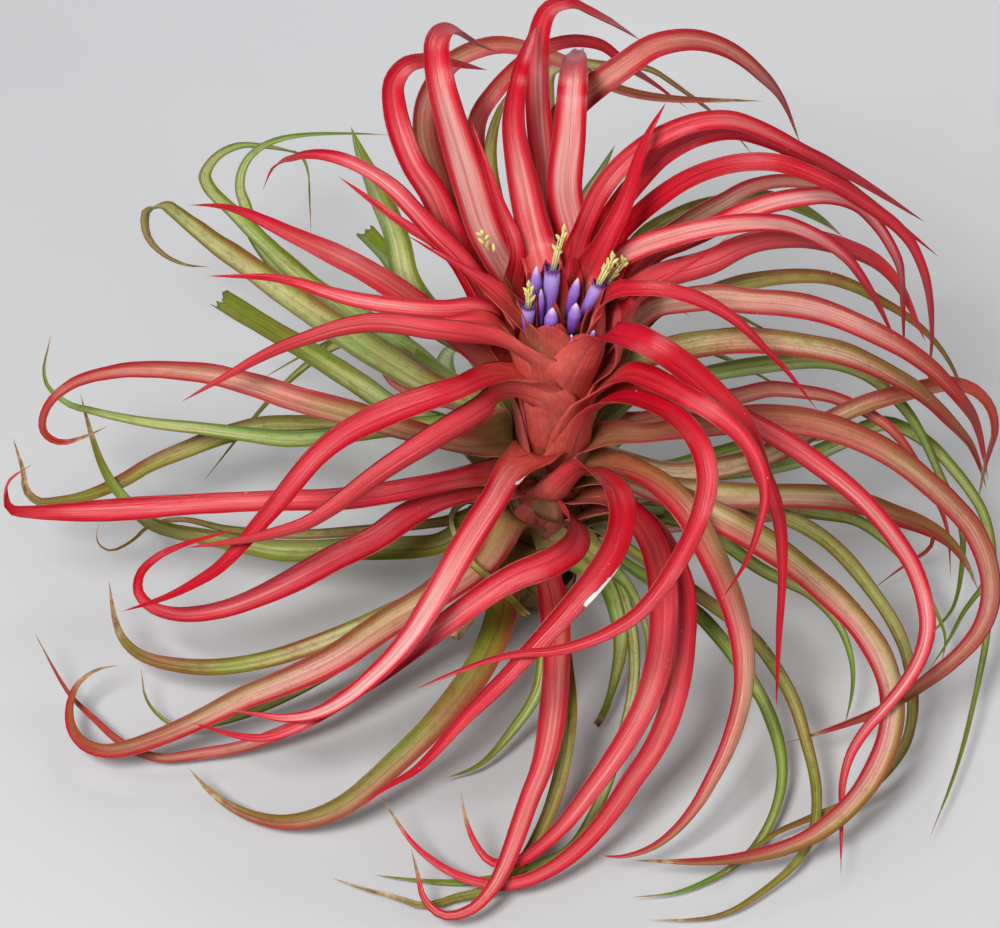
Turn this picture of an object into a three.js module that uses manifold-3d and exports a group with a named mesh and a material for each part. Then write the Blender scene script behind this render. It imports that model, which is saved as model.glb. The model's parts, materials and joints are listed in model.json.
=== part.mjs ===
// An air plant, Tillandsia brachycaulos, in flower: a short leafy neck, a rosette of long channelled
// leaves that arch out and curl back, and violet flowers in the crown. Millimetres, +Z up, with the
// origin at the centre of the neck's flat lower end. The front of the plant faces -Y.
import * as THREE from 'three';
import { mergeVertices } from 'three/addons/utils/BufferGeometryUtils.js';
import Module from 'manifold-3d';

const wasm = await Module();
wasm.setup();

// Driving dimensions, in mm
const NECK_HEIGHT = 98;
const NECK_PROFILE = [[0, 8], [6, 9], [30, 9.6], [60, 9.8], [80, 10.4], [90, 11.2], [95, 11.2], [98, 10]];
const NECK_LEAN = [0.05, 0.03];
const SHEATH_RELIEF = 0.45;
const NECK_SIDES = 20;
const NECK_RINGS = 14;
const ROOT_GAP = 0.52;
const CROWN_LIFT = 0.4;
const ROOT_SUNK = 2.4;
const ROOT_PITCH = { around: 7.4, along: 4.6 };
const ROOT_EASE = 2.4;
const ROOT_RANGE = { lowest: 9, highest: 95 };
const BLADE_THICKNESS = 1.3;
const TIP_THICKNESS = 0.62;
const CHANNEL_DEPTH = 0.3;
const ROOT_WIDTH = 0.58;
const ROOT_FLAT = 0.1;
const WIDENING = 0.22;
const TAPER = 1.8;
const TAPER_END = 0.85;
const FACING = 0.45;
const TURNING = { from: 0.04, to: 0.4 };
const RING_LENGTH = 26;
const TURN_PER_RING = 20;
const FEWEST_RINGS = 3;
const LEAVING = { out: 4.5, up: 4, from: 16 };
const LEAF_GAP = 0.55;
const FLOOR_GAP = 0.25;

// The reference picture, and where it was taken from
const PICTURE = { width: 1000, height: 928 };
const VIEW = { elevation: 45, distance: 900, mmPerPixel: 0.27, aim: [-10.8, 0, 50.4] };

const RED = { color: 0xc8202e, roughness: 0.42 };
const SALMON = { color: 0xb8564a, roughness: 0.45 };
const OLIVE = { color: 0x7f7a36, roughness: 0.5 };
const GREEN = { color: 0x6d8a2e, roughness: 0.5 };
const NECK_RED = { color: 0xa8503c, roughness: 0.55 };
const VIOLET = { color: 0x7a5cc8, roughness: 0.5 };
const POLLEN = { color: 0xe6dc8a, roughness: 0.7 };

const radians = THREE.MathUtils.degToRad;
const elevation = radians(VIEW.elevation);
const viewForward = new THREE.Vector3(0, Math.cos(elevation), -Math.sin(elevation));
const viewUp = new THREE.Vector3(0, Math.sin(elevation), Math.cos(elevation));
const viewRight = new THREE.Vector3(1, 0, 0);
const viewPoint = new THREE.Vector3(...VIEW.aim).addScaledVector(viewForward, -VIEW.distance);

// The point at height z that is seen at a place in the picture
function seenAt([px, py], z) {
  const ray = viewForward.clone()
    .addScaledVector(viewRight, (px - PICTURE.width / 2) * VIEW.mmPerPixel / VIEW.distance)
    .addScaledVector(viewUp, (PICTURE.height / 2 - py) * VIEW.mmPerPixel / VIEW.distance);
  return ray.multiplyScalar((z - viewPoint.z) / ray.z).add(viewPoint);
}

// Where a point is seen in the picture
function pictureOf(point) {
  const arm = point.clone().sub(viewPoint);
  const scale = VIEW.distance / VIEW.mmPerPixel / arm.dot(viewForward);
  const across = PICTURE.width / 2 + arm.dot(viewRight) * scale;
  return [across, PICTURE.height / 2 - arm.dot(viewUp) * scale];
}

function interpolate(stops, at) {
  let i = 1;
  while (i < stops.length - 1 && stops[i][0] < at) i += 1;
  const [x0, y0] = stops[i - 1];
  const [x1, y1] = stops[i];
  return y0 + (y1 - y0) * THREE.MathUtils.clamp((at - x0) / (x1 - x0), 0, 1);
}

// A value at a fraction of the way through a list of evenly spaced values, smoothly
function smoothValue(values, fraction) {
  const points = values.map((value, i) => new THREE.Vector2(i, value));
  const spline = new THREE.SplineCurve(points);
  return spline.getPoint(THREE.MathUtils.clamp(fraction, 0, 1)).y;
}

const neckRadius = (z) => interpolate(NECK_PROFILE, z);
const neckAxis = (z) => new THREE.Vector3(NECK_LEAN[0] * z, NECK_LEAN[1] * z, z);

// A direction away from the axis: azimuth 0 is the front, 90 the right, 180 the back
const outward = (azimuth) => new THREE.Vector3(Math.sin(radians(azimuth)), -Math.cos(radians(azimuth)), 0);

// The wrapped sheaths swell the neck a little in a spiral, and fade out towards its foot
function sheathRelief(azimuth, z) {
  const shown = Math.sin(Math.PI * Math.min(z / 30, 1) * 0.5);
  return SHEATH_RELIEF * shown * Math.sin(radians(azimuth * 5 + z * 16));
}

function aroundNeck(azimuth, z, radius = neckRadius(z)) {
  return neckAxis(z).addScaledVector(outward(azimuth), radius);
}

// The radius of the neck's facets, between the rings and sides of its mesh
function facetRadius(azimuth, z) {
  const ring = z * NECK_RINGS / NECK_HEIGHT;
  const side = azimuth * NECK_SIDES / 360;
  const corner = (i, j) => {
    const height = i * NECK_HEIGHT / NECK_RINGS;
    return neckRadius(height) + sheathRelief(j * 360 / NECK_SIDES, height);
  };
  const [i, j] = [Math.floor(ring), Math.floor(side)];
  const below = THREE.MathUtils.lerp(corner(i, j), corner(i, j + 1), side - j);
  const above = THREE.MathUtils.lerp(corner(i + 1, j), corner(i + 1, j + 1), side - j);
  const flattened = Math.cos(Math.PI / NECK_SIDES) / Math.cos((side - j - 0.5) * 2 * Math.PI / NECK_SIDES);
  return THREE.MathUtils.lerp(below, above, ring - i) * flattened;
}

// Leaves. Each is: name, colour, root [azimuth, height] with a radius too where it stands on the crown,
// blade width, heights evenly spaced from root to tip, and the places in the picture that it passes.
// own: false marks a leaf that is one body with the neck; cut marks a blunt end.
const leaves = [];
function leaf(name, finish, root, width, heights, trace, options = {}) {
  leaves.push({ name, finish, root, width, heights, trace, own: true, cut: 0, ...options });
}
const joined = { own: false };

// Upper rosette, behind the flowers
leaf('leaf_back_1', RED, [196, 98, 9.2], 9.5, [98, 111, 126, 142, 156, 155],
  [[524, 190], [512, 120], [518, 75], [528, 45], [537, 24], [540, 32]]);
leaf('leaf_back_2', RED, [184, 94], 8, [94, 106, 122, 140, 152, 152, 122],
  [[545, 180], [538, 110], [538, 50], [545, 15], [562, 4], [600, 18], [640, 40]]);
leaf('leaf_back_3', RED, [168, 94], 10.5, [94, 106, 121, 136, 148, 118],
  [[566, 190], [570, 140], [573, 90], [578, 54], [581, 50], [578, 66]]);
leaf('leaf_back_4', RED, [212, 94], 11, [94, 108, 124, 141, 154, 126],
  [[487, 240], [464, 169], [440, 85], [436, 48], [449, 32], [478, 45], [501, 54]]);
leaf('leaf_back_5', RED, [232, 89], 9, [89, 101, 116, 130, 137, 112],
  [[463, 267], [433, 197], [408, 156], [392, 97], [397, 74], [411, 65], [436, 63], [487, 70]]);
leaf('leaf_back_6', SALMON, [212, 78], 8, [78, 98, 111, 118, 115, 109, 102],
  [[450, 210], [424, 127], [433, 90], [450, 65], [498, 46], [560, 62], [617, 90], [662, 99], [762, 101]]);
leaf('leaf_back_7', SALMON, [202, 85], 6, [85, 104, 122, 138, 130, 96],
  [[480, 190], [477, 120], [505, 80], [540, 50], [577, 41], [602, 46], [625, 65], [655, 85], [687, 108]]);
leaf('leaf_back_8', SALMON, [172, 84], 9, [84, 102, 122, 140, 148, 130, 92],
  [[548, 200], [556, 130], [588, 93], [619, 70], [650, 48], [676, 41], [704, 42], [732, 53], [760, 76],
    [783, 104], [801, 146]]);
leaf('leaf_back_9', RED, [150, 98, 7.2], 6.5, [98, 119, 136, 152],
  [[597, 259], [610, 233], [626, 200], [645, 141], [667, 101]]);
leaf('leaf_back_10', RED, [226, 94], 5, [94, 112, 128, 140],
  [[515, 250], [497, 200], [482, 155], [470, 118]], joined);
leaf('bract_crown_1', RED, [172, 98, 7.6], 2.6, [95, 108, 118, 126],
  [[562, 292], [567, 272], [571, 252], [574, 236]], joined);

// Upper rosette, to the right
leaf('leaf_right_1', RED, [172, 98, 9.4], 6, [98, 119, 136, 146, 134, 112, 83],
  [[576, 250], [607, 181], [648, 143], [688, 124], [721, 119], [753, 127], [800, 150], [850, 176], [925, 222]]);
leaf('leaf_right_2', RED, [148, 90], 6, [90, 106, 127, 138, 124, 102, 74],
  [[600, 235], [631, 190], [669, 151], [702, 135], [731, 131], [769, 141], [810, 162], [850, 189], [891, 219],
    [939, 257]]);
leaf('leaf_right_3', RED, [135, 92], 5.5, [92, 112, 132, 138, 118, 86, 40],
  [[620, 240], [648, 208], [702, 173], [769, 162], [823, 180], [866, 205], [904, 235], [922, 270], [931, 330],
    [927, 392]]);
leaf('leaf_right_4', RED, [128, 84], 6.5, [84, 98, 112, 122, 116, 92, 56],
  [[650, 258], [700, 235], [745, 213], [790, 200], [830, 197], [860, 208], [880, 232], [897, 262], [902, 311],
    [904, 359]]);
leaf('leaf_right_5', RED, [120, 88], 6.5, [88, 106, 118, 122, 110, 88, 62],
  [[620, 262], [661, 241], [702, 230], [742, 224], [783, 226], [815, 238], [845, 259], [864, 284], [883, 316],
    [899, 351]]);
leaf('leaf_right_6', RED, [112, 84], 8, [84, 97, 104, 110, 102, 86, 64],
  [[630, 300], [656, 281], [715, 262], [748, 246], [783, 240], [815, 241], [850, 250], [877, 262], [899, 285],
    [926, 343]]);
leaf('leaf_right_7', RED, [100, 95], 2, [95, 110, 118, 122], [[640, 293], [675, 273], [702, 257], [731, 235]],
  joined);
leaf('leaf_right_8', RED, [82, 95], 5, [95, 110, 113, 104, 90, 74],
  [[607, 297], [634, 290], [656, 290], [683, 295], [715, 308], [742, 327], [764, 349], [785, 370], [818, 411]]);
leaf('leaf_right_9', RED, [18, 93], 8.5, [93, 112, 105, 90, 70, 48, 24],
  [[597, 339], [652, 348], [706, 388], [742, 430], [760, 475], [775, 510], [781, 560], [778, 640],
    [776, 711]]);
leaf('leaf_right_10', RED, [52, 80], 7, [78, 98, 103, 100, 90, 74, 58],
  [[626, 376], [655, 382], [683, 396], [719, 417], [741, 437], [757, 462], [764, 490],
    [756, 533], [744, 564], [721, 600]]);
leaf('leaf_right_11', RED, [78, 72], 6.5, [72, 88, 80, 64, 42, 28, 16, 5],
  [[600, 396], [625, 388], [700, 400], [754, 425], [792, 447], [844, 485], [869, 508], [895, 540], [913, 569],
    [923, 600], [926, 630], [915, 665], [890, 700], [856, 741], [843, 775], [841, 812], [841, 874]]);

// Middle rosette, in front
leaf('leaf_front_1', RED, [30, 62], 7, [62, 90, 100, 92, 78, 68, 60, 54, 48],
  [[587, 415], [608, 402], [630, 400], [652, 407], [673, 417], [691, 435], [704, 461], [706, 483],
    [702, 505], [691, 534], [678, 560], [660, 587], [641, 610], [619, 626], [587, 641], [554, 650], [510, 654],
    [445, 676], [410, 692]]);
leaf('leaf_front_2', RED, [4, 46], 8.5, [47, 74, 72, 64, 54, 42, 30, 17],
  [[580, 469], [602, 478], [617, 495], [621, 517], [615, 543], [600, 569], [558, 619],
    [532, 647], [502, 680], [471, 710], [416, 769], [381, 790], [358, 812]]);
leaf('leaf_front_3', RED, [342, 38], 8.5, [38, 59, 56, 46, 38, 31, 25, 22],
  [[554, 508], [569, 517], [576, 530], [569, 550], [550, 563], [521, 573], [489, 591], [456, 615],
    [423, 639], [391, 665], [340, 700], [300, 726], [262, 738], [235, 735], [190, 722]]);
leaf('leaf_front_4', RED, [340, 62], 8.5, [62, 66, 60, 50, 40, 31, 27],
  [[515, 470], [495, 502], [470, 540], [440, 590], [408, 640], [375, 675], [340, 703], [300, 718], [270, 716],
    [228, 710]]);
leaf('leaf_front_5', RED, [58, 54], 8.5, [54, 62, 54, 42, 30, 19, 10, 7],
  [[605, 468], [640, 475], [680, 505], [705, 545], [728, 595], [740, 640], [742, 685], [730, 735], [711, 777],
    [690, 812], [660, 842], [625, 856], [592, 855]]);
leaf('leaf_front_6', SALMON, [34, 44], 9, [44, 52, 46, 37, 28, 18, 10, 9, 18],
  [[605, 500], [626, 512], [641, 528], [654, 552], [662, 600], [660, 650], [648, 696], [626, 739], [596, 782],
    [570, 816], [545, 842], [519, 859], [500, 866], [480, 850], [465, 815], [461, 790]]);
leaf('leaf_front_7', SALMON, [48, 36], 8, [36, 46, 40, 30, 19, 10, 6, 7, 14],
  [[622, 510], [655, 535], [680, 590], [682, 640], [672, 704], [656, 743], [630, 782], [600, 825], [570, 855],
    [536, 876], [506, 884], [472, 880], [437, 863], [412, 842], [394, 816], [381, 795]]);
leaf('leaf_front_8', SALMON, [8, 26], 8.5, [26, 34, 28, 21, 14, 8, 6, 13],
  [[546, 575], [552, 600], [556, 650], [554, 705], [545, 760], [528, 803], [514, 842], [497, 880], [476, 906],
    [452, 916], [431, 910], [421, 890], [416, 865], [411, 848]]);

// Upper rosette, to the left
leaf('leaf_left_1', RED, [322, 88], 8.5, [88, 97, 90, 78, 64, 50, 38],
  [[500, 376], [452, 393], [402, 410], [338, 441], [305, 473], [276, 508], [249, 538], [224, 565], [173, 595],
    [120, 612]]);
leaf('leaf_left_2', RED, [346, 82], 7.5, [82, 90, 84, 76, 68, 58],
  [[510, 391], [484, 409], [423, 446], [380, 474], [338, 505], [303, 526], [270, 535], [243, 541], [184, 548]]);
leaf('leaf_left_3', RED, [302, 46], 9, [46, 48, 40, 33, 30, 34, 46],
  [[480, 492], [420, 512], [378, 540], [338, 559], [297, 581], [257, 600], [216, 613], [189, 616], [162, 613],
    [141, 598], [138, 580], [151, 562], [173, 549], [243, 527]]);
leaf('leaf_left_4', RED, [286, 52], 7.5, [52, 54, 50, 45, 42, 42, 56],
  [[465, 480], [420, 489], [351, 500], [270, 503], [189, 507], [108, 512], [41, 513], [14, 511], [3, 503],
    [3, 489], [14, 476], [31, 465]]);
leaf('leaf_left_5', RED, [280, 93], 6, [93, 103, 106, 106, 103],
  [[491, 314], [436, 311], [394, 307], [352, 300], [324, 292], [297, 283], [269, 278], [206, 276]]);
leaf('leaf_left_6', RED, [320, 94], 6.6, [94, 106, 108, 104, 94, 82],
  [[505, 345], [467, 335], [430, 331], [400, 326], [358, 325], [310, 338], [270, 353], [235, 372], [181, 402]]);
leaf('leaf_left_7', RED, [292, 97], 4, [96, 103, 103, 100], [[480, 322], [430, 325], [385, 330]], joined);
leaf('leaf_left_8', RED, [238, 92], 7, [92, 108, 118, 126, 126, 106],
  [[463, 264], [430, 231], [394, 192], [366, 172], [338, 160], [313, 156], [291, 160], [274, 167], [263, 190]]);
leaf('leaf_left_9', RED, [250, 84], 5.5, [84, 102, 114, 120], [[449, 256], [408, 228], [380, 208], [338, 176]]);
leaf('leaf_left_10', RED, [262, 98, 9.5], 3, [96, 106, 112, 117],
  [[491, 289], [463, 269], [436, 253], [408, 236]], joined);
leaf('leaf_left_11', SALMON, [250, 76], 8.5, [76, 84, 94, 100, 99, 92],
  [[470, 350], [416, 306], [380, 281], [338, 258], [297, 239], [255, 219], [227, 208], [188, 205]]);
leaf('leaf_left_12', SALMON, [288, 60], 9, [60, 68, 76, 79, 74, 60, 64],
  [[470, 448], [420, 438], [365, 422], [297, 403], [257, 389], [216, 378], [176, 373], [135, 372], [103, 376],
    [76, 384], [54, 400], [45, 416], [47, 435], [62, 443], [81, 438], [108, 426]]);

// Lower rosette, to the right
leaf('leaf_low_right_1', SALMON, [114, 76], 8.5, [76, 90, 95, 90, 78, 56, 24],
  [[642, 316], [675, 305], [715, 300], [748, 303], [783, 305], [823, 313], [864, 330], [904, 352],
    [931, 372], [958, 400], [975, 425], [988, 480]]);
leaf('leaf_low_right_2', OLIVE, [130, 62], 5.5, [62, 80, 90, 88, 76, 56, 30],
  [[660, 310], [710, 295], [742, 284], [791, 277], [823, 278], [850, 286], [877, 300], [904, 316], [930, 338],
    [950, 365], [977, 432]], joined);
leaf('leaf_low_right_3', OLIVE, [100, 68], 8.5, [68, 82, 88, 86, 74, 54, 28],
  [[600, 378], [620, 369], [648, 359], [688, 350], [729, 343], [769, 343], [810, 348], [850, 358], [891, 378],
    [918, 395], [945, 420], [972, 450], [987, 490]]);
leaf('leaf_low_right_4', GREEN, [110, 60], 6, [60, 70, 70, 64, 48, 26, 10, 5],
  [[640, 395], [688, 381], [729, 372], [769, 366], [823, 363], [850, 370], [877, 385], [910, 420], [940, 480],
    [960, 530], [959, 579], [951, 610], [933, 631], [913, 649]], joined);
leaf('leaf_low_right_5', SALMON, [116, 52], 5.5, [52, 62, 60, 54, 40, 18],
  [[650, 420], [700, 404], [737, 397], [769, 390], [804, 393], [837, 400], [890, 430], [925, 480], [946, 526],
    [951, 577]], joined);
leaf('leaf_low_right_6', OLIVE, [88, 46], 7.5, [46, 46, 50, 56, 60, 52, 24],
  [[680, 475], [741, 466], [780, 452], [820, 428], [860, 408], [905, 395], [945, 386], [970, 390],
    [990, 410], [993, 432], [985, 462], [977, 503]]);
leaf('leaf_low_right_7', SALMON, [72, 60], 10.5, [60, 72, 72, 63, 45, 28, 15, 10],
  [[650, 437], [700, 430], [756, 425], [818, 430], [882, 455], [935, 495], [972, 535], [986, 575],
    [985, 612], [965, 645], [930, 675], [880, 708], [830, 728], [786, 743]]);
leaf('leaf_low_right_8', SALMON, [62, 48], 9.5, [48, 58, 50, 34, 20, 12, 9, 8],
  [[685, 505], [754, 540], [818, 587], [869, 642], [890, 695], [885, 745], [855, 798], [805, 838],
    [751, 855], [695, 861], [631, 860]]);
leaf('leaf_low_right_9', OLIVE, [76, 32], 5.5, [32, 40, 38, 28, 16, 8, 5, 3],
  [[700, 497], [779, 517], [818, 536], [844, 559], [869, 590], [890, 621], [905, 656], [911, 708],
    [905, 741], [884, 773], [854, 799], [815, 816], [775, 833], [742, 858], [708, 887]], joined);
leaf('leaf_low_right_10', SALMON, [68, 40], 9, [40, 45, 46, 42, 34, 16],
  [[680, 494], [713, 497], [754, 498], [800, 498], [850, 502], [890, 515], [930, 530], [960, 555],
    [978, 590]]);
leaf('leaf_low_right_11', GREEN, [90, 32], 6, [32, 36, 34, 24, 13, 4],
  [[640, 505], [700, 505], [760, 505], [818, 513], [856, 521], [882, 538], [908, 564], [923, 590], [936, 613],
    [945, 638], [941, 664]], joined);
leaf('leaf_low_right_12', GREEN, [100, 36], 6, [36, 38, 44, 42, 30, 17, 10, 6, 3],
  [[640, 478], [690, 478], [790, 465], [850, 440], [882, 425], [921, 441], [946, 464], [982, 515], [990, 560],
    [988, 610], [982, 655], [970, 713], [955, 770], [931, 835]], joined);
leaf('leaf_low_right_13', GREEN, [112, 36], 5.5, [36, 42, 44, 36, 22, 10, 4],
  [[660, 470], [760, 445], [851, 433], [882, 449], [908, 467], [933, 485], [959, 515], [977, 546], [982, 587],
    [967, 605], [946, 644], [926, 674]], joined);
leaf('leaf_low_right_14', GREEN, [66, 28], 5, [28, 34, 30, 20, 12, 4],
  [[640, 515], [700, 530], [760, 570], [810, 595], [838, 625], [851, 660], [852, 690], [844, 728]], joined);
leaf('leaf_low_right_15', OLIVE, [46, 26], 5.5, [26, 34, 30, 22, 14, 8, 4, 2.5, 1.6],
  [[590, 530], [640, 560], [700, 600], [751, 640], [789, 696], [806, 747], [815, 790], [811, 833], [794, 863],
    [759, 893], [725, 913], [695, 919], [649, 920]], joined);
leaf('leaf_low_right_16', GREEN, [34, 22], 5.5, [22, 30, 24, 15, 8, 4, 2.6, 2.6],
  [[590, 550], [645, 580], [700, 620], [753, 687], [772, 726], [781, 769], [776, 803], [763, 833], [742, 859],
    [708, 880], [673, 893], [633, 897]], joined);
leaf('leaf_low_right_17', SALMON, [84, 22], 4.5, [22, 26, 24, 14, 4],
  [[650, 530], [740, 520], [850, 510], [920, 520], [933, 541], [895, 572], [872, 590]], joined);

// Lower rosette, in front
leaf('leaf_low_front_1', OLIVE, [12, 16], 5.5, [16, 26, 24, 16, 9, 4, 2, 2, 2],
  [[550, 600], [560, 640], [568, 704], [566, 747], [557, 790], [540, 833], [519, 867], [493, 889], [459, 897],
    [424, 906], [394, 897], [364, 889], [332, 878]], joined);
leaf('leaf_low_front_2', GREEN, [26, 18], 3.5, [18, 24, 20, 12, 6, 3, 1.6, 1.4, 1.4],
  [[590, 560], [615, 578], [626, 604], [632, 636], [634, 669], [630, 702], [619, 745], [600, 800], [570, 850],
    [545, 863], [510, 876], [459, 882], [416, 880], [375, 875]], joined);
leaf('leaf_low_front_3', GREEN, [18, 30], 7, [30, 26, 16, 8, 4],
  [[585, 560], [608, 582], [619, 615], [621, 647], [615, 680], [604, 713], [597, 725]], { own: false, cut: 0.3 });
leaf('leaf_low_front_4', GREEN, [30, 30], 4, [30, 28, 22, 14], [[600, 560], [628, 587], [641, 615], [647, 637],
  [645, 669]], joined);
leaf('leaf_low_front_5', OLIVE, [336, 28], 9, [28, 32, 26, 18, 9, 3.4, 7],
  [[518, 545], [506, 575], [500, 620], [480, 668], [440, 720], [394, 765], [340, 808], [290, 822], [250, 815],
    [215, 795], [188, 767]]);
leaf('leaf_low_front_6', GREEN, [352, 16], 5.5, [16, 22, 17, 9, 4, 2.4],
  [[552, 610], [545, 650], [537, 691], [515, 726], [480, 764], [444, 779]], joined);

// Lower rosette, to the left
leaf('leaf_low_left_1', OLIVE, [304, 24], 6, [24, 25, 21, 17, 14, 15, 20],
  [[470, 560], [420, 598], [378, 619], [324, 641], [270, 659], [216, 668], [176, 666], [143, 657], [124, 641],
    [115, 619], [109, 581]], joined);
leaf('leaf_low_left_2', SALMON, [322, 36], 9.5, [36, 34, 28, 20, 12, 8, 15],
  [[490, 560], [440, 595], [378, 632], [338, 659], [284, 684], [243, 700], [205, 719], [150, 742], [110, 752],
    [85, 745], [70, 722], [72, 700], [85, 675], [120, 665]]);
leaf('leaf_low_left_3', SALMON, [314, 16], 5, [16, 18, 13, 6, 3, 5, 14],
  [[480, 600], [400, 660], [320, 715], [249, 745], [202, 754], [155, 758], [120, 742], [95, 720], [70, 695],
    [34, 632]], joined);
leaf('leaf_low_left_4', GREEN, [300, 14], 4.5, [14, 17, 13, 7, 4, 10],
  [[480, 570], [380, 640], [300, 690], [230, 720], [178, 727], [148, 703], [141, 668]], joined);
leaf('leaf_low_left_5', GREEN, [268, 54], 6.5, [54, 52, 47, 44, 46, 60],
  [[460, 425], [400, 430], [341, 437], [297, 441], [257, 438], [200, 430], [162, 426], [122, 419], [89, 411],
    [65, 403], [43, 378], [45, 362], [51, 334]], joined);
leaf('leaf_low_left_6', OLIVE, [274, 44], 7.5, [44, 46, 43, 36, 29, 27, 42],
  [[460, 440], [400, 430], [311, 427], [270, 427], [230, 435], [189, 451], [149, 468], [122, 484], [78, 500],
    [31, 500], [22, 468], [13, 438]], joined);
leaf('leaf_low_left_7', GREEN, [284, 28], 7.5, [28, 26, 22, 20, 22, 30, 40],
  [[445, 545], [351, 550], [284, 552], [240, 545], [190, 535], [155, 527], [125, 500], [108, 478], [95, 446],
    [86, 416], [80, 392]]);
leaf('leaf_low_left_8', OLIVE, [278, 36], 3.5, [36, 32, 26, 20, 13, 13],
  [[460, 520], [380, 530], [300, 535], [230, 530], [180, 520], [149, 527], [130, 543], [108, 551], [97, 541],
    [99, 524]], joined);
leaf('leaf_low_left_9', OLIVE, [246, 58], 10, [58, 64, 68, 70, 70, 64, 50, 40],
  [[465, 400], [430, 388], [394, 367], [366, 350], [324, 322], [283, 294], [241, 264], [213, 244], [186, 222],
    [166, 208], [154, 207], [145, 217], [147, 232], [160, 250], [180, 263], [210, 267]]);
leaf('leaf_low_left_10', GREEN, [236, 46], 6.5, [46, 55, 62, 66, 63, 50, 38],
  [[420, 360], [308, 283], [260, 240], [235, 215], [211, 192], [205, 178], [211, 165], [224, 153], [247, 146],
    [274, 149], [297, 153], [307, 170], [309, 197], [311, 231]], joined);
leaf('leaf_low_left_11', GREEN, [228, 50], 5.5, [50, 57, 61, 64, 62, 53],
  [[400, 350], [300, 290], [255, 239], [247, 211], [240, 189], [244, 167], [258, 150], [283, 139], [311, 135],
    [352, 134], [391, 135]], joined);
leaf('leaf_low_left_12', GREEN, [256, 40], 8.5, [40, 46, 50, 52, 53],
  [[460, 440], [400, 415], [360, 388], [310, 355], [260, 325], [218, 300]], { own: false, cut: 0.8 });
leaf('leaf_low_left_13', GREEN, [222, 68], 9, [68, 78, 86, 90, 89],
  [[440, 330], [408, 285], [397, 239], [380, 197], [361, 156], [351, 127]], joined);
leaf('leaf_low_left_14', GREEN, [232, 66], 6, [66, 74, 78, 80],
  [[440, 320], [402, 278], [386, 256], [362, 232]], joined);
leaf('leaf_low_left_15', SALMON, [276, 52], 4, [52, 56, 58, 56],
  [[460, 410], [424, 400], [394, 385], [376, 364], [352, 352]], joined);

// Lower rosette, behind
leaf('leaf_low_back_1', OLIVE, [142, 72], 7, [72, 86, 96, 98, 88, 65],
  [[600, 290], [629, 259], [650, 235], [688, 214], [729, 205], [769, 200], [796, 208], [823, 222], [842, 236]],
  joined);
leaf('leaf_low_back_2', SALMON, [150, 64], 6, [64, 82, 98, 98, 80, 43],
  [[640, 262], [690, 222], [723, 203], [748, 189], [780, 182], [810, 184], [850, 192], [872, 219], [891, 241],
    [904, 273]], joined);
leaf('leaf_low_back_3', OLIVE, [178, 72], 6.5, [72, 100, 114, 108, 88, 57],
  [[550, 200], [546, 120], [550, 72], [577, 65], [605, 68], [648, 70], [676, 87], [704, 107], [718, 118],
    [740, 140], [755, 158]], joined);
leaf('leaf_low_back_4', OLIVE, [194, 66], 8, [66, 84, 100, 106],
  [[500, 230], [490, 160], [500, 110], [515, 85]], joined);
leaf('leaf_low_back_5', GREEN, [158, 70], 7, [70, 92, 102, 100],
  [[575, 240], [588, 197], [600, 175], [615, 145]], joined);

// Dead leaves on the neck: a dry strip, and a brown one with a cut end
leaf('leaf_dry_1', OLIVE, [306, 30], 2, [30, 34, 38, 38], [[470, 500], [452, 515], [462, 550], [475, 566],
  [495, 583], [528, 617]], { own: false, cut: 0.5 });
leaf('leaf_dry_2', SALMON, [338, 22], 8.5, [22, 27, 24, 20], [[505, 545], [492, 575], [478, 605], [455, 640]],
  { own: false, cut: 0.85 });

// Hidden leaves behind the neck. Each is: root azimuth and height, reach, rise, heading of the curl
const HIDDEN_LEAVES = [
  [150, 64, 98, 24, 34], [186, 60, 104, 26, -30], [212, 56, 92, 24, 38], [166, 46, 112, 18, -26],
  [196, 42, 104, 18, 30], [142, 36, 96, 16, -34], [218, 34, 88, 14, -36], [176, 28, 100, 12, 32],
  [154, 16, 90, 10, -30], [200, 14, 86, 9, 34],
];
const HIDDEN_WIDTH = 7;
const HIDDEN_TIP_HEIGHT = 1.2;
function hiddenLeafPoints([azimuth, height, reach, rise, curl]) {
  const points = [];
  for (let i = 1; i <= 6; i += 1) {
    const along = i / 6;
    const z = height + rise * Math.sin(Math.PI * along * 0.9) - (height - HIDDEN_TIP_HEIGHT) * along ** 1.8;
    points.push(aroundNeck(azimuth + curl * along ** 2, 0, neckRadius(height) + reach * along).setZ(z));
  }
  return points;
}

// A leaf's midrib: starts off the neck or sunk into it, then passes the points of its trace
function rootPoint({ root: [azimuth, z, radius], own, width }) {
  const off = own ? ROOT_GAP + width * ROOT_WIDTH * CHANNEL_DEPTH / ROOT_EASE : -ROOT_SUNK;
  if (radius !== undefined) {
    return aroundNeck(azimuth, NECK_HEIGHT, radius).setZ(NECK_HEIGHT + off + CROWN_LIFT);
  }
  return aroundNeck(azimuth, z, facetRadius(azimuth, z) + off);
}

function tracedPoints(item) {
  const start = pictureOf(rootPoint(item));
  const places = [start, ...item.trace];
  const lengths = [0];
  for (let i = 1; i < places.length; i += 1) {
    lengths.push(lengths[i - 1] + Math.hypot(places[i][0] - places[i - 1][0], places[i][1] - places[i - 1][1]));
  }
  const whole = lengths[lengths.length - 1];
  return item.trace.map((place, i) => seenAt(place, smoothValue(item.heights, lengths[i + 1] / whole)));
}

for (const [index, hidden] of HIDDEN_LEAVES.entries()) {
  leaf(`leaf_hidden_${index + 1}`, GREEN, [hidden[0], hidden[1]], HIDDEN_WIDTH, [], [],
    { own: false, points: hiddenLeafPoints(hidden), slide: new THREE.Vector3(0, 0, 1), facing: 0 });
}

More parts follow.
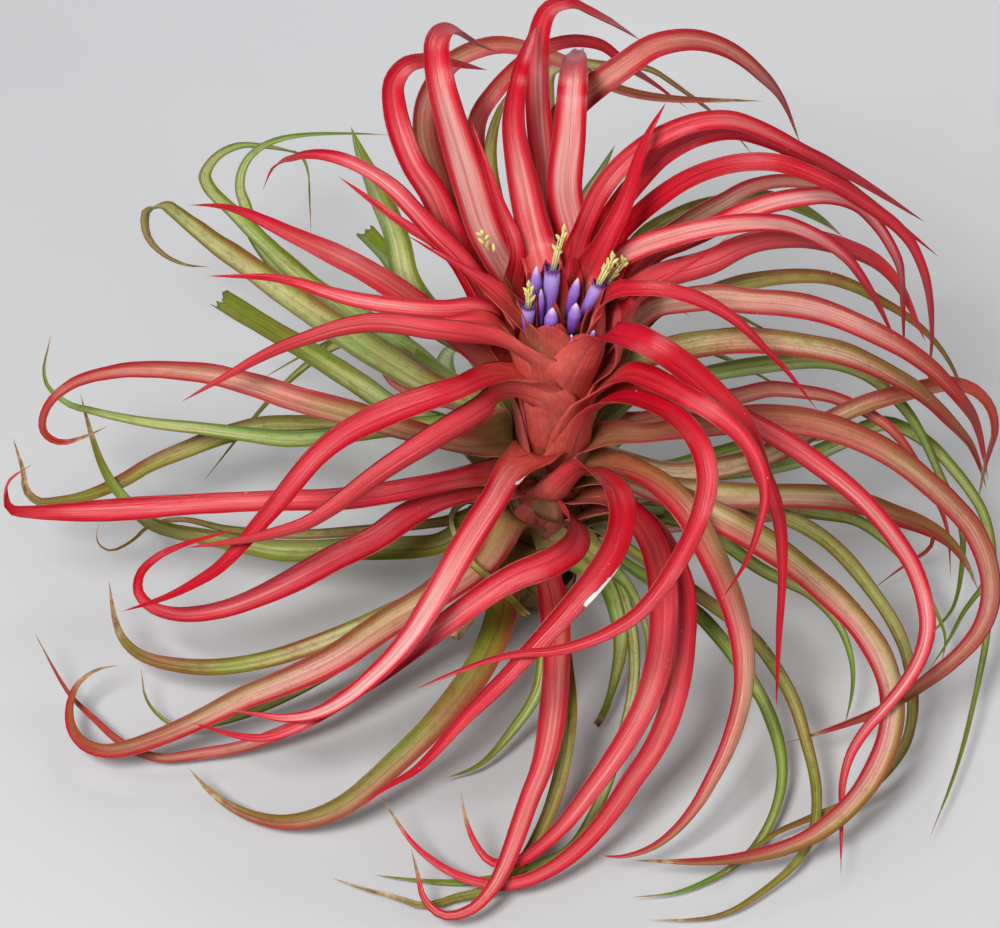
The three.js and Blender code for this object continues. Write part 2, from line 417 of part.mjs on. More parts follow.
// Roots keep a pitch from each other, as they do in a spiral of sheaths
const ROOT_SPREADING_ROUNDS = 150;
const ROOT_PUSH = 0.25;
const heldRoot = (z) => THREE.MathUtils.clamp(z, ROOT_RANGE.lowest, ROOT_RANGE.highest);
const sideLeaves = leaves.filter((item) => item.root.length === 2);
for (let round = 0; round < ROOT_SPREADING_ROUNDS; round += 1) {
  for (const [i, one] of sideLeaves.entries()) {
    for (const other of sideLeaves.slice(i + 1)) {
      const turn = ((other.root[0] - one.root[0] + 540) % 360) - 180;
      const across = radians(turn) * neckRadius(one.root[1]) / ROOT_PITCH.around;
      const up = (other.root[1] - one.root[1]) / ROOT_PITCH.along;
      const apart = Math.max(Math.hypot(across, up), 1e-3);
      if (apart >= 1) continue;
      const push = (1 - apart) * ROOT_PUSH / apart;
      const turnPush = push * across * 180 / Math.PI * ROOT_PITCH.around / neckRadius(one.root[1]) * 0.5;
      one.root[0] -= turnPush;
      other.root[0] += turnPush;
      one.root[1] = heldRoot(one.root[1] - push * up * ROOT_PITCH.along);
      other.root[1] = heldRoot(other.root[1] + push * up * ROOT_PITCH.along);
    }
  }
}

// A smooth midrib, sampled evenly, with the blade's width and face directions at each sample
const MIDRIB_SAMPLES = 33;
function startMidrib(item) {
  const points = item.points ?? tracedPoints(item);
  const root = rootPoint(item);
  if (item.root.length === 2 && root.distanceTo(points[0]) > LEAVING.from) {
    points.unshift(root.clone().addScaledVector(outward(item.root[0]), LEAVING.out).setZ(root.z + LEAVING.up));
  }
  const curve = new THREE.CatmullRomCurve3([root, ...points], false, 'centripetal');
  item.midrib = curve.getSpacedPoints(MIDRIB_SAMPLES - 1);
  item.slide = item.slide ?? viewForward.clone().negate();
}

// Blades turn a little on the way out, so that their upper faces look up and to the front
function bladeFrames(midrib, azimuth, facing = FACING) {
  const tangents = midrib.map((point, i) => {
    const before = midrib[Math.max(i - 1, 0)];
    return midrib[Math.min(i + 1, midrib.length - 1)].clone().sub(before).normalize();
  });
  const across = outward(azimuth + 90);
  return tangents.map((tangent, i) => {
    across.addScaledVector(tangent, -across.dot(tangent)).normalize();
    const square = new THREE.Vector3().crossVectors(tangent, viewForward);
    const turning = facing * THREE.MathUtils.smoothstep(i / midrib.length, TURNING.from, TURNING.to);
    const sign = Math.sign(square.dot(across));
    const side = across.clone().addScaledVector(square, sign * turning / (1 - turning));
    side.addScaledVector(tangent, -side.dot(tangent)).normalize();
    return { tangent, across: side, face: new THREE.Vector3().crossVectors(tangent, side) };
  });
}

// Width of the blade at a fraction of its length
function bladeWidth({ width, cut }, along) {
  const rooted = THREE.MathUtils.lerp(ROOT_WIDTH, 1, THREE.MathUtils.smoothstep(along, 0, WIDENING));
  const tapered = (1 - along ** TAPER) ** TAPER_END;
  return width * rooted * Math.max(tapered, cut);
}

const bladeThickness = (along) => THREE.MathUtils.lerp(BLADE_THICKNESS, TIP_THICKNESS, along);

// Leaves that would cross are slid apart along the line of sight, so each is still seen where it was
const PARTING_ROUNDS = 160;
const HELD_LENGTH = 0.14;
const PARTING_PUSH = 0.35;
const CELL = 14;
function partLeaves() {
  for (let round = 0; round < PARTING_ROUNDS; round += 1) {
    const cells = new Map();
    for (const [index, item] of leaves.entries()) {
      if (round % 6 === 0) item.frames = bladeFrames(item.midrib, item.root[0], item.facing);
      item.push = new Float64Array(MIDRIB_SAMPLES);
      item.midrib.forEach((point, i) => {
        const key = point.toArray().map((value) => Math.floor(value / CELL)).join();
        if (!cells.has(key)) cells.set(key, []);
        cells.get(key).push({ item, index, i, point, frame: item.frames[i] });
      });
    }
    for (const key of cells.keys()) {
      const [cx, cy, cz] = key.split(',').map(Number);
      const near = [];
      for (let x = cx - 1; x <= cx + 1; x += 1) {
        for (let y = cy - 1; y <= cy + 1; y += 1) {
          for (let z = cz - 1; z <= cz + 1; z += 1) near.push(...(cells.get(`${x},${y},${z}`) ?? []));
        }
      }
      for (const one of cells.get(key)) {
        for (const other of near) {
          if (other.index > one.index && (one.item.own || other.item.own)) partPair(one, other);
        }
      }
    }
    for (const item of leaves) slideMidrib(item);
  }
}

const arm = new THREE.Vector3();
function reachOf({ item, i, frame }, direction) {
  const along = i / (MIDRIB_SAMPLES - 1);
  const half = bladeWidth(item, along) / 2;
  const depth = half * CHANNEL_DEPTH + bladeThickness(along) / 2;
  return Math.hypot(direction.dot(frame.across) * half, direction.dot(frame.face) * depth,
    direction.dot(frame.tangent) * depth);
}

function partPair(one, other) {
  arm.subVectors(other.point, one.point);
  const apart = arm.length();
  if (apart > CELL || apart < 1e-6) return;
  arm.divideScalar(apart);
  const wanted = reachOf(one, arm) + reachOf(other, arm) + LEAF_GAP;
  if (apart >= wanted) return;
  const sign = arm.dot(other.item.slide) >= 0 ? 1 : -1;
  const amount = (wanted - apart) * PARTING_PUSH;
  one.item.push[one.i] -= sign * amount;
  other.item.push[other.i] += sign * amount;
}

const SMOOTHING_REACH = 4;
function slideMidrib(item) {
  const last = MIDRIB_SAMPLES - 1;
  const moves = item.push.map((value, i) => {
    let sum = 0;
    let weights = 0;
    for (let j = Math.max(0, i - SMOOTHING_REACH); j <= Math.min(last, i + SMOOTHING_REACH); j += 1) {
      const weight = 1 - Math.abs(j - i) / (SMOOTHING_REACH + 1);
      sum += item.push[j] * weight;
      weights += weight;
    }
    return sum / weights;
  });
  item.midrib.forEach((point, i) => {
    const free = THREE.MathUtils.smoothstep(i / last, 0, HELD_LENGTH);
    point.addScaledVector(item.slide, moves[i] * free);
    const lowest = FLOOR_GAP + bladeThickness(i / last) / 2;
    if (point.z < lowest) point.addScaledVector(item.slide, (lowest - point.z) / item.slide.z);
  });
}

// A blade: rings of a shallow V, with thin margins and a thicker midrib, that end in a point
function bladeSolid(item) {
  const curve = new THREE.CatmullRomCurve3(item.midrib, false, 'centripetal');
  let turn = 0;
  for (let i = 1; i < MIDRIB_SAMPLES; i += 1) {
    turn += item.frames[i].tangent.angleTo(item.frames[i - 1].tangent);
  }
  const turnRings = THREE.MathUtils.radToDeg(turn) / TURN_PER_RING;
  const steps = Math.round(curve.getLength() / RING_LENGTH + turnRings + FEWEST_RINGS);
  const centres = curve.getSpacedPoints(steps);
  const frames = bladeFrames(centres, item.root[0], item.facing);
  const vertices = [];
  const triangles = [];
  const rings = item.cut ? steps : steps - 1;
  for (let i = 0; i <= rings; i += 1) {
    const along = i / steps;
    const half = bladeWidth(item, along) / 2;
    const { across, face } = frames[i];
    const opened = THREE.MathUtils.smoothstep(along, -ROOT_FLAT, ROOT_FLAT);
    const margin = face.clone().multiplyScalar(half * CHANNEL_DEPTH * opened);
    const middle = bladeThickness(along) / 2;
    vertices.push(
      centres[i].clone().addScaledVector(across, -half).add(margin),
      centres[i].clone().addScaledVector(face, middle),
      centres[i].clone().addScaledVector(across, half).add(margin),
      centres[i].clone().addScaledVector(face, -middle),
    );
  }
  for (let i = 0; i < rings; i += 1) {
    const [a, b] = [i * 4, i * 4 + 4];
    triangles.push([a, b + 1, a + 1], [a, b, b + 1], [a + 1, b + 1, a + 2], [a + 2, b + 1, b + 2]);
    triangles.push([a + 2, b + 2, b + 3], [a + 2, b + 3, a + 3], [a, a + 3, b + 3], [a, b + 3, b]);
  }
  triangles.push([0, 1, 3], [1, 2, 3]);
  const end = rings * 4;
  if (item.cut) {
    triangles.push([end, end + 3, end + 1], [end + 1, end + 3, end + 2]);
  } else {
    vertices.push(centres[steps]);
    for (let k = 0; k < 4; k += 1) triangles.push([end + k, end + 4, end + (k + 1) % 4]);
  }
  return closedGeometry(vertices, triangles);
}

function closedGeometry(vertices, triangles) {
  const geometry = new THREE.BufferGeometry();
  geometry.setAttribute('position', new THREE.Float32BufferAttribute(vertices.flatMap((v) => v.toArray()), 3));
  geometry.setIndex(triangles.flat());
  const volume = signedVolume(vertices, triangles);
  if (volume < 0) geometry.setIndex(triangles.flatMap(([a, b, c]) => [a, c, b]));
  return geometry;
}

function signedVolume(vertices, triangles) {
  const cross = new THREE.Vector3();
  const six = triangles.reduce((sum, [a, b, c]) => {
    return sum + vertices[a].dot(cross.crossVectors(vertices[b], vertices[c]));
  }, 0);
  return six / 6;
}

// The neck, with the relief of the sheaths that wrap it in a spiral
function neckSolid() {
  const vertices = [new THREE.Vector3(0, 0, 0)];
  for (let ring = 0; ring <= NECK_RINGS; ring += 1) {
    const z = NECK_HEIGHT * ring / NECK_RINGS;
    for (let side = 0; side < NECK_SIDES; side += 1) {
      const azimuth = 360 * side / NECK_SIDES;
      vertices.push(aroundNeck(azimuth, z, neckRadius(z) + sheathRelief(azimuth, z)));
    }
  }
  vertices.push(neckAxis(NECK_HEIGHT));
  const triangles = [];
  const place = (ring, side) => 1 + ring * NECK_SIDES + (side % NECK_SIDES);
  for (let side = 0; side < NECK_SIDES; side += 1) {
    triangles.push([0, place(0, side), place(0, side + 1)]);
    for (let ring = 0; ring < NECK_RINGS; ring += 1) {
      const [left, right] = [place(ring, side), place(ring, side + 1)];
      const [leftAbove, rightAbove] = [place(ring + 1, side), place(ring + 1, side + 1)];
      triangles.push([left, rightAbove, right], [left, leftAbove, rightAbove]);
    }
    triangles.push([vertices.length - 1, place(NECK_RINGS, side + 1), place(NECK_RINGS, side)]);
  }
  return closedGeometry(vertices, triangles);
}

function toSolid(geometry) {
  const clean = geometry.clone();
  clean.deleteAttribute('normal');
  clean.deleteAttribute('uv');
  const merged = mergeVertices(clean, 1e-4);
  return new wasm.Manifold(new wasm.Mesh({
    numProp: 3,
    vertProperties: new Float32Array(merged.attributes.position.array),
    triVerts: new Uint32Array(merged.index.array),
  }));
}

function toGeometry(solid) {
  const mesh = solid.getMesh();
  const geometry = new THREE.BufferGeometry();
  geometry.setAttribute('position', new THREE.BufferAttribute(new Float32Array(mesh.vertProperties), 3));
  geometry.setIndex(new THREE.BufferAttribute(new Uint32Array(mesh.triVerts), 1));
  return geometry;
}

const group = new THREE.Group();
function add(name, geometry, finish) {
  const material = new THREE.MeshStandardMaterial({ ...finish, metalness: 0 });
  const mesh = new THREE.Mesh(geometry, material);
  mesh.name = name;
  group.add(mesh);
}

// Flowers stand on the crown. Each is: name, place and lean of the tube, height, stamens above it or none
const TUBE_RADIUS = 1.9;
const TUBE_SIDES = 8;
const STYLE_RADIUS = 0.42;
const STYLE_LENGTH = 9;
const ANTHERS = { count: 6, radius: 0.75, stretch: 1.5, off: 0.6, turn: 2.4, first: 0.42, pitch: 0.11 };
const MOUTH_HEIGHT = 0.9;
const FLOWER_GAP = 0.3;
const flowers = [
  ['flower_1', [1.8, 5.2], [0.06, 0.14], 16.8, true],
  ['flower_2', [-3.7, 0.2], [0.02, 0.14], 8.8, true],
  ['flower_3', [10.1, 4], [0.46, 0.3], 12.2, true],
  ['flower_4', [12.4, 8], [0.56, 0.3], 9.4, true],
  ['bud_1', [-1.5, 8], [0.01, 0.06], 15.3, false],
  ['bud_2', [6.6, 5.4], [0.2, 0.04], 14, false],
  ['bud_3', [7.6, -0.2], [0.12, 0.02], 10.5, false],
  ['bud_4', [1.7, -1.8], [0.11, 0.08], 9.8, false],
];

function turned(geometry, [x, y], [leanX, leanY]) {
  const axis = new THREE.Vector3(leanX, leanY, 1).normalize();
  const spin = new THREE.Quaternion().setFromUnitVectors(new THREE.Vector3(0, 0, 1), axis);
  const lift = FLOWER_GAP + TUBE_RADIUS * Math.hypot(leanX, leanY);
  return geometry.applyQuaternion(spin).translate(x, y, NECK_HEIGHT + lift);
}

// A tube of overlapping petals: slender at its base, full above, open at the mouth or closed in a point
function flowerTube(height, open) {
  const profile = [[0, 0], [0.55, 0], [0.75, 0.3], [1, 0.6], [1, 0.82]];
  const mouth = open ? [[0.86, 1], [0.55, 1], [0.4, 0.9], [0, 0.88]] : [[0.62, 0.93], [0, 1]];
  const points = [...profile, ...mouth].map(([r, h]) => new THREE.Vector2(r * TUBE_RADIUS, h * height));
  return new THREE.LatheGeometry(points, TUBE_SIDES).rotateX(Math.PI / 2);
}

// A tuft of stamens on one short style, each with its anther
function stamenTuft() {
  const style = new THREE.CylinderGeometry(STYLE_RADIUS, STYLE_RADIUS, STYLE_LENGTH, 5)
    .rotateX(Math.PI / 2).translate(0, 0, STYLE_LENGTH / 2);
  let tuft = toSolid(style);
  for (let i = 0; i < ANTHERS.count; i += 1) {
    const angle = i * ANTHERS.turn;
    const height = STYLE_LENGTH * (ANTHERS.first + ANTHERS.pitch * i);
    const anther = new THREE.OctahedronGeometry(ANTHERS.radius).scale(1, 1, ANTHERS.stretch);
    anther.translate(Math.cos(angle) * ANTHERS.off, Math.sin(angle) * ANTHERS.off, height);
    tuft = tuft.add(toSolid(anther));
  }
  return toGeometry(tuft);
}

function addFlowers() {
  for (const [name, place, lean, height, open] of flowers) {
    add(name, turned(flowerTube(height, open), place, lean), VIOLET);
    if (!open) continue;
    const tuft = stamenTuft().translate(0, 0, height * MOUTH_HEIGHT + FLOWER_GAP);
    add(name.replace('flower', 'stamens'), turned(tuft, place, lean), POLLEN);
  }
}

for (const item of leaves) startMidrib(item);
partLeaves();
for (const item of leaves) item.frames = bladeFrames(item.midrib, item.root[0], item.facing);

let neck = toSolid(neckSolid());
for (const item of leaves) {
  const blade = bladeSolid(item);
  if (item.own) add(item.name, blade, item.finish);
  else neck = neck.add(toSolid(blade));
}
add('stem_with_leaves', toGeometry(neck), NECK_RED);
addFlowers();

export default group;
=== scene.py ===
"""Looks of a flowering air plant, Tillandsia brachycaulos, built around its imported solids.

Each leaf is a fine channelled blade with a broad clasping base. The leaves that have a solid of
their own take their line, width and turn from it. The others are one solid with the stem, and are
laid out again from their table. Lengths in this file are millimetres unless a name says metres.
"""

import json
import logging
import math
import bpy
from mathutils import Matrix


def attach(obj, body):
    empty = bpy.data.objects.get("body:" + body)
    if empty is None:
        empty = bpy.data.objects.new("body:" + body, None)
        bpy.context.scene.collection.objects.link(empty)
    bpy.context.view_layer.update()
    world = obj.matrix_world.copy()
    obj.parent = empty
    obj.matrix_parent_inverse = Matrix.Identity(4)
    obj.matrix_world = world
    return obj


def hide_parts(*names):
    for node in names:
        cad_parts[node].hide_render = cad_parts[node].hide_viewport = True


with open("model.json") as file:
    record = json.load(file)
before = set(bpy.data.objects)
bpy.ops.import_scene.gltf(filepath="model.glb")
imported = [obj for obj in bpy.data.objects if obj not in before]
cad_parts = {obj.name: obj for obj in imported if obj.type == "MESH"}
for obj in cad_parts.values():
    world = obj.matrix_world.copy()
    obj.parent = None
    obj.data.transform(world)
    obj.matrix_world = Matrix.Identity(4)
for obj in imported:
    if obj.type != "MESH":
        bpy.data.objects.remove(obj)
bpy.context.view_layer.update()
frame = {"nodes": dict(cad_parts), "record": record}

import zlib
from dataclasses import dataclass, field, replace
from enum import Enum

import bmesh
import bpy
import numpy as np
from mathutils import Vector

LOG = logging.getLogger("air_plant")
Array = np.ndarray
Colour = tuple[float, float, float]
Faces = list[tuple[int, ...]]
Skin = tuple[Array, Faces, dict[str, Array]]
METRES = 0.001

# The view that the leaves' tables were laid out from: its size, scale, distance and direction
PICTURE_WIDTH = 1000
PICTURE_HEIGHT = 928
MM_PER_PIXEL = 0.27
VIEW_DISTANCE = 900.0
VIEW_AIM = np.array([-10.8, 0.0, 50.4])
HALF_ROOT = math.sqrt(0.5)
VIEW_FORWARD = np.array([0.0, HALF_ROOT, -HALF_ROOT])
VIEW_UP = np.array([0.0, HALF_ROOT, HALF_ROOT])
VIEW_RIGHT = np.array([1.0, 0.0, 0.0])
VIEW_POINT = VIEW_AIM - VIEW_FORWARD * VIEW_DISTANCE

# The stem's core, which the sheaths hide
NECK_HEIGHT = 98.0
NECK_HEIGHTS = [0, 6, 30, 60, 80, 90, 95, 98]
NECK_RADII = [8, 9, 9.6, 9.8, 10.4, 11.2, 11.2, 10]
NECK_LEAN = np.array([0.05, 0.03])


class Tone(Enum):
    """The four ranges of leaf colour, each with its material slot."""

    RED = "leaf_red"
    SALMON = "leaf_salmon"
    OLIVE = "leaf_olive"
    GREEN = "leaf_green"


def unit(vectors: Array) -> Array:
    """Vectors scaled to length one, along the last axis."""
    return vectors / np.maximum(np.linalg.norm(vectors, axis=-1, keepdims=True), 1e-9)


def smoothstep(values: Array, low: float, high: float) -> Array:
    """A smooth rise from 0 at low to 1 at high."""
    share = np.clip((np.asarray(values, float) - low) / (high - low), 0.0, 1.0)
    return share * share * (3.0 - 2.0 * share)


def seed_of(name: str) -> int:
    """A number that is always the same for the same name."""
    return zlib.crc32(name.encode())


def neck_radius(height: Array | float) -> Array:
    """The core's radius at a height."""
    return np.interp(height, NECK_HEIGHTS, NECK_RADII)


def outward(azimuth: float) -> Array:
    """A level direction away from the stem: azimuth 0 is the front, 90 the right."""
    turn = math.radians(azimuth)
    return np.array([math.sin(turn), -math.cos(turn), 0.0])


def azimuth_of(point: Array) -> float:
    """The azimuth in which a point lies from the stem's axis."""
    level = point[:2] - NECK_LEAN * point[2]
    return math.degrees(math.atan2(level[0], -level[1]))


def beside_neck(azimuth: float, height: float, off: float) -> Array:
    """A point at a distance off the core's side."""
    axis = np.array([NECK_LEAN[0] * height, NECK_LEAN[1] * height, height])
    return axis + outward(azimuth) * (float(neck_radius(height)) + off)


def seen_at(place: tuple[float, float], height: float) -> Array:
    """The point at a height that is seen at a place in the picture.

    Args:
        place: how far across and down the picture.
        height: the height that the point lies at.

    Returns:
        The point.
    """
    ray = (
        VIEW_FORWARD
        + VIEW_RIGHT * ((place[0] - PICTURE_WIDTH / 2) * MM_PER_PIXEL / VIEW_DISTANCE)
        + VIEW_UP * ((PICTURE_HEIGHT / 2 - place[1]) * MM_PER_PIXEL / VIEW_DISTANCE)
    )
    return VIEW_POINT + ray * ((height - VIEW_POINT[2]) / ray[2])


def picture_of(point: Array) -> tuple[float, float]:
    """Where a point is seen in the picture.

    Args:
        point: the point.

    Returns:
        How far across and down the picture.
    """
    arm = point - VIEW_POINT
    scale = VIEW_DISTANCE / MM_PER_PIXEL / float(arm @ VIEW_FORWARD)
    across = PICTURE_WIDTH / 2 + float(arm @ VIEW_RIGHT) * scale
    return across, PICTURE_HEIGHT / 2 - float(arm @ VIEW_UP) * scale


SPLINE_STEPS = 16


def spaced_spline(points: Array, count: int) -> Array:
    """A smooth line through points, sampled at even steps of its length.

    Args:
        points: the points that the line passes, one a row.
        count: how many samples to give.

    Returns:
        The samples, one a row.
    """
    ends = [2 * points[0] - points[1], *points, 2 * points[-1] - points[-2]]
    padded = np.array(ends)
    dense = []
    for p0, p1, p2, p3 in zip(padded, padded[1:], padded[2:], padded[3:]):
        legs = ((p0, p1), (p1, p2), (p2, p3))
        d0, d1, d2 = (max(math.sqrt(np.linalg.norm(b - a)), 1e-4) for a, b in legs)
        start = ((p1 - p0) / d0 - (p2 - p0) / (d0 + d1) + (p2 - p1) / d1) * d1
        end = ((p2 - p1) / d1 - (p3 - p1) / (d1 + d2) + (p3 - p2) / d2) * d1
        t = np.linspace(0, 1, SPLINE_STEPS, endpoint=False)[:, None]
        dense.append(
            p1 * (2 * t**3 - 3 * t**2 + 1)
            + start * (t**3 - 2 * t**2 + t)
            + p2 * (3 * t**2 - 2 * t**3)
            + end * (t**3 - t**2)
        )
    line = np.vstack([*dense, points[-1:]])
    lengths = np.concatenate([[0], np.cumsum(np.linalg.norm(np.diff(line, axis=0), axis=1))])
    wanted = np.linspace(0, lengths[-1], count)
    return np.stack([np.interp(wanted, lengths, line[:, k]) for k in range(3)], axis=1)


def tangents_of(centres: Array) -> Array:
    """The direction of a line at each of its samples.

    Args:
        centres: the samples, one a row.

    Returns:
        Directions of length one.
    """
    ahead = np.vstack([centres[1:], centres[-1:]])
    behind = np.vstack([centres[:1], centres[:-1]])
    return unit(ahead - behind)


@dataclass
class Spine:
    """A blade's line from its root to its tip.

    Attributes:
        name: the leaf's name.
        centres: points along the middle of the blade.
        across: the direction from one margin to the other at each point.
        halves: half of the blade's width at each point.
    """

    name: str
    centres: Array
    across: Array
    halves: Array

    SMOOTHING = 12

    def length(self) -> float:
        """The length of the line."""
        return float(np.linalg.norm(np.diff(self.centres, axis=0), axis=1).sum())

    def resampled(self, count: int) -> "Spine":
        """The same blade with another number of samples.

        Args:
            count: how many samples to give.

        Returns:
            The new blade, with its turn smoothed once for every 12 samples.
        """
        old = np.linspace(0, 1, len(self.centres))
        new = np.linspace(0, 1, count)
        across = np.stack([np.interp(new, old, self.across[:, k]) for k in range(3)], axis=1)
        for _ in range(round(count / self.SMOOTHING)):
            padded = np.vstack([across[:1], across, across[-1:]])
            across = padded[:-2] * 0.25 + padded[1:-1] * 0.5 + padded[2:] * 0.25
        halves = np.interp(new, old, self.halves)
        return Spine(self.name, spaced_spline(self.centres, count), across, halves)

    def faces(self) -> tuple[Array, Array, Array]:
        """Square directions at each sample.

        Returns:
            Three sets of directions: along, across, and out of the upper side.
        """
        along = tangents_of(self.centres)
        side = unit(self.across - along * np.sum(self.across * along, axis=1, keepdims=True))
        return along, side, np.cross(along, side)


class PackedBlade:
    """Reads a leaf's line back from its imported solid, which is made of rings of four corners."""

    CORNERS = 4
    FEWEST_RINGS = 3
    SAME_CORNER = 2e-5
    PAIRINGS = (((0, 1), (2, 3)), ((0, 2), (1, 3)), ((0, 3), (1, 2)))

    def __init__(self, node: bpy.types.Object) -> None:
        """Joins the solid's doubled corners, ready to be read.

        Args:
            node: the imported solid.
        """
        self.name = node.name
        self.mesh = bmesh.new()
        self.mesh.from_mesh(node.data)
        bmesh.ops.remove_doubles(self.mesh, verts=self.mesh.verts, dist=self.SAME_CORNER)

    def off_stem(self, vert: bmesh.types.BMVert) -> float:
        """How far a corner is from the stem's axis."""
        height = vert.co.z
        return math.hypot(vert.co.x - NECK_LEAN[0] * height, vert.co.y - NECK_LEAN[1] * height)

    def rings(self) -> list[list[bmesh.types.BMVert]]:
        """The rings from the root to the tip.

        Returns:
            Rings of corners, the last of which is the tip alone.
        """
        pointed = [vert for vert in self.mesh.verts if len(vert.link_edges) == self.CORNERS]
        for tip in sorted(pointed, key=self.off_stem, reverse=True):
            levels = [[tip]]
            seen = {tip}
            while levels[-1]:
                near = {edge.other_vert(vert) for vert in levels[-1] for edge in vert.link_edges}
                fresh = [vert for vert in near if vert not in seen]
                seen.update(fresh)
                levels.append(fresh)
            levels.pop()
            whole = all(len(level) == self.CORNERS for level in levels[1:])
            if whole and len(levels) > self.FEWEST_RINGS:
                return levels[::-1]
        raise ValueError(f"{self.name} is not a blade of rings")

    def spine(self) -> Spine:
        """The blade's line, width and turn.

        Returns:
            The blade, with the channel's open side as its upper side.
        """
        centres, across, halves, lifts = [], [], [], []
        for ring in self.rings():
            corners = [np.array(vert.co) / METRES for vert in ring]
            linked = [[any(edge.other_vert(a) is b for edge in a.link_edges) for b in ring] for a in ring]
            if len(corners) == 1:
                centres.append(corners[0])
                across.append(across[-1])
                halves.append(0.0)
                lifts.append(np.zeros(3))
                continue
            opposite = min(self.PAIRINGS, key=lambda pairs: sum(linked[i][j] for i, j in pairs))
            spans = [float(np.linalg.norm(corners[i] - corners[j])) for i, j in opposite]
            wide = 0 if spans[0] > spans[1] else 1
            left, right = (corners[k] for k in opposite[wide])
            top, bottom = (corners[k] for k in opposite[1 - wide])
            side = unit(right - left)
            if across and float(side @ across[-1]) < 0:
                side = -side
            centres.append((top + bottom) / 2)
            across.append(side)
            halves.append(spans[wide] / 2)
            lifts.append((left + right - top - bottom) / 2)
        self.mesh.free()
        spine = Spine(self.name, np.array(centres), np.array(across), np.array(halves))
        if float(np.sum(spine.faces()[2] * np.array(lifts))) < 0:
            spine.across = -spine.across
        return spine


class Parting:
    """Slides the joined leaves along the line of sight, until they clear each other and the rest.

    ROUNDS is how often they slide, REFRESH how many rounds use one list of near pairs, CELL how near
    a pair may touch and MARGIN how much further the list looks. GAP is left between two blades. A
    blade that meets one that stays moves by ALONE of what is missing, and one that meets another
    that slides by SHARED. No blade goes below LOWEST, and none slides at its root, up to HELD.
    """

    ROUNDS = 72
    REFRESH = 8
    BATCH = 512
    CELL = 15.0
    MARGIN = 6
    GAP = 0.7
    ALONE = 0.5
    SHARED = 0.3
    LOWEST = 0.7
    HELD = 0.14
    EASING = (1, 2, 3, 4, 5, 4, 3, 2, 1)

    def __init__(self, moving: list[Spine], slides: Array, fixed: list[Spine]) -> None:
        """Gathers the samples of all blades.

        Args:
            moving: the blades that may slide, all with the same number of samples.
            slides: the direction in which each of them slides.
            fixed: the blades that stay.
        """
        self.moving, self.slides = moving, slides
        self.samples = len(moving[0].centres)
        blades = moving + [blade.resampled(self.samples) for blade in fixed]
        self.points = np.vstack([blade.centres for blade in blades])
        self.owner = np.repeat(np.arange(len(blades)), self.samples)
        self.loose = len(moving) * self.samples
        self.slide_of = np.repeat(slides, self.samples, axis=0)
        frames = [blade.faces() for blade in blades]
        self.along, self.across, self.face = (np.vstack([f[k] for f in frames]) for k in range(3))
        self.half = np.concatenate([blade.halves for blade in blades])
        self.depth = self.half * 0.3 + 0.5

    def near_pairs(self) -> tuple[Array, Array]:
        """Pairs of samples of different blades that may touch.

        Returns:
            The first and the second samples' numbers, the first of a blade that slides.
        """
        firsts, seconds = [], []
        for start in range(0, self.loose, self.BATCH):
            stop = min(start + self.BATCH, self.loose)
            rows = self.points[start:stop]
            apart = np.linalg.norm(rows[:, None] - self.points[None], axis=2)
            near = (apart < self.CELL + self.MARGIN) & (self.owner[start:stop, None] != self.owner[None])
            first, second = np.nonzero(near)
            first += start
            keep = (second >= self.loose) | (second > first)
            firsts.append(first[keep])
            seconds.append(second[keep])
        return np.concatenate(firsts), np.concatenate(seconds)

    def reach(self, index: Array, arm: Array) -> Array:
        """How far a blade's section reaches in a direction.

        Args:
            index: the samples' numbers.
            arm: a direction for each of them.

        Returns:
            The lengths from the middle to the skin.
        """
        return np.sqrt(
            (np.sum(arm * self.across[index], axis=1) * self.half[index]) ** 2
            + (np.sum(arm * self.face[index], axis=1) * self.depth[index]) ** 2
            + (np.sum(arm * self.along[index], axis=1) * self.depth[index]) ** 2
        )

    def run(self) -> list[Spine]:
        """Slides the blades.

        Returns:
            The blades in their new places.
        """
        free = smoothstep(np.linspace(0, 1, self.samples), 0, self.HELD)
        kernel = np.array(self.EASING, float)
        weights = np.convolve(np.ones(self.samples), kernel, "same")
        for turn in range(self.ROUNDS):
            if turn % self.REFRESH == 0:
                first, second = self.near_pairs()
            arm = self.points[second] - self.points[first]
            apart = np.maximum(np.linalg.norm(arm, axis=1), 1e-6)
            arm /= apart[:, None]
            short = self.reach(first, arm) + self.reach(second, arm) + self.GAP - apart
            hit = (short > 0) & (apart < self.CELL)
            one, other, missing = first[hit], second[hit], short[hit]
            sign = np.where(np.sum(arm[hit] * self.slide_of[one], axis=1) >= 0, 1.0, -1.0)
            both = other < self.loose
            push = np.zeros(self.loose)
            np.add.at(push, one, -sign * missing * np.where(both, self.SHARED, self.ALONE))
            np.add.at(push, other[both], (sign * missing * self.SHARED)[both])
            for k in range(len(self.moving)):
                part = slice(k * self.samples, (k + 1) * self.samples)
                eased = np.convolve(push[part], kernel, "same") / weights * free
                self.points[part] += self.slides[k] * eased[:, None]
                low = np.maximum(self.LOWEST - self.points[part][:, 2], 0)
                self.points[part] += self.slides[k] * (low / self.slides[k][2])[:, None]
        places = np.split(self.points[:self.loose], len(self.moving))
        return [replace(blade, centres=place) for blade, place in zip(self.moving, places)]


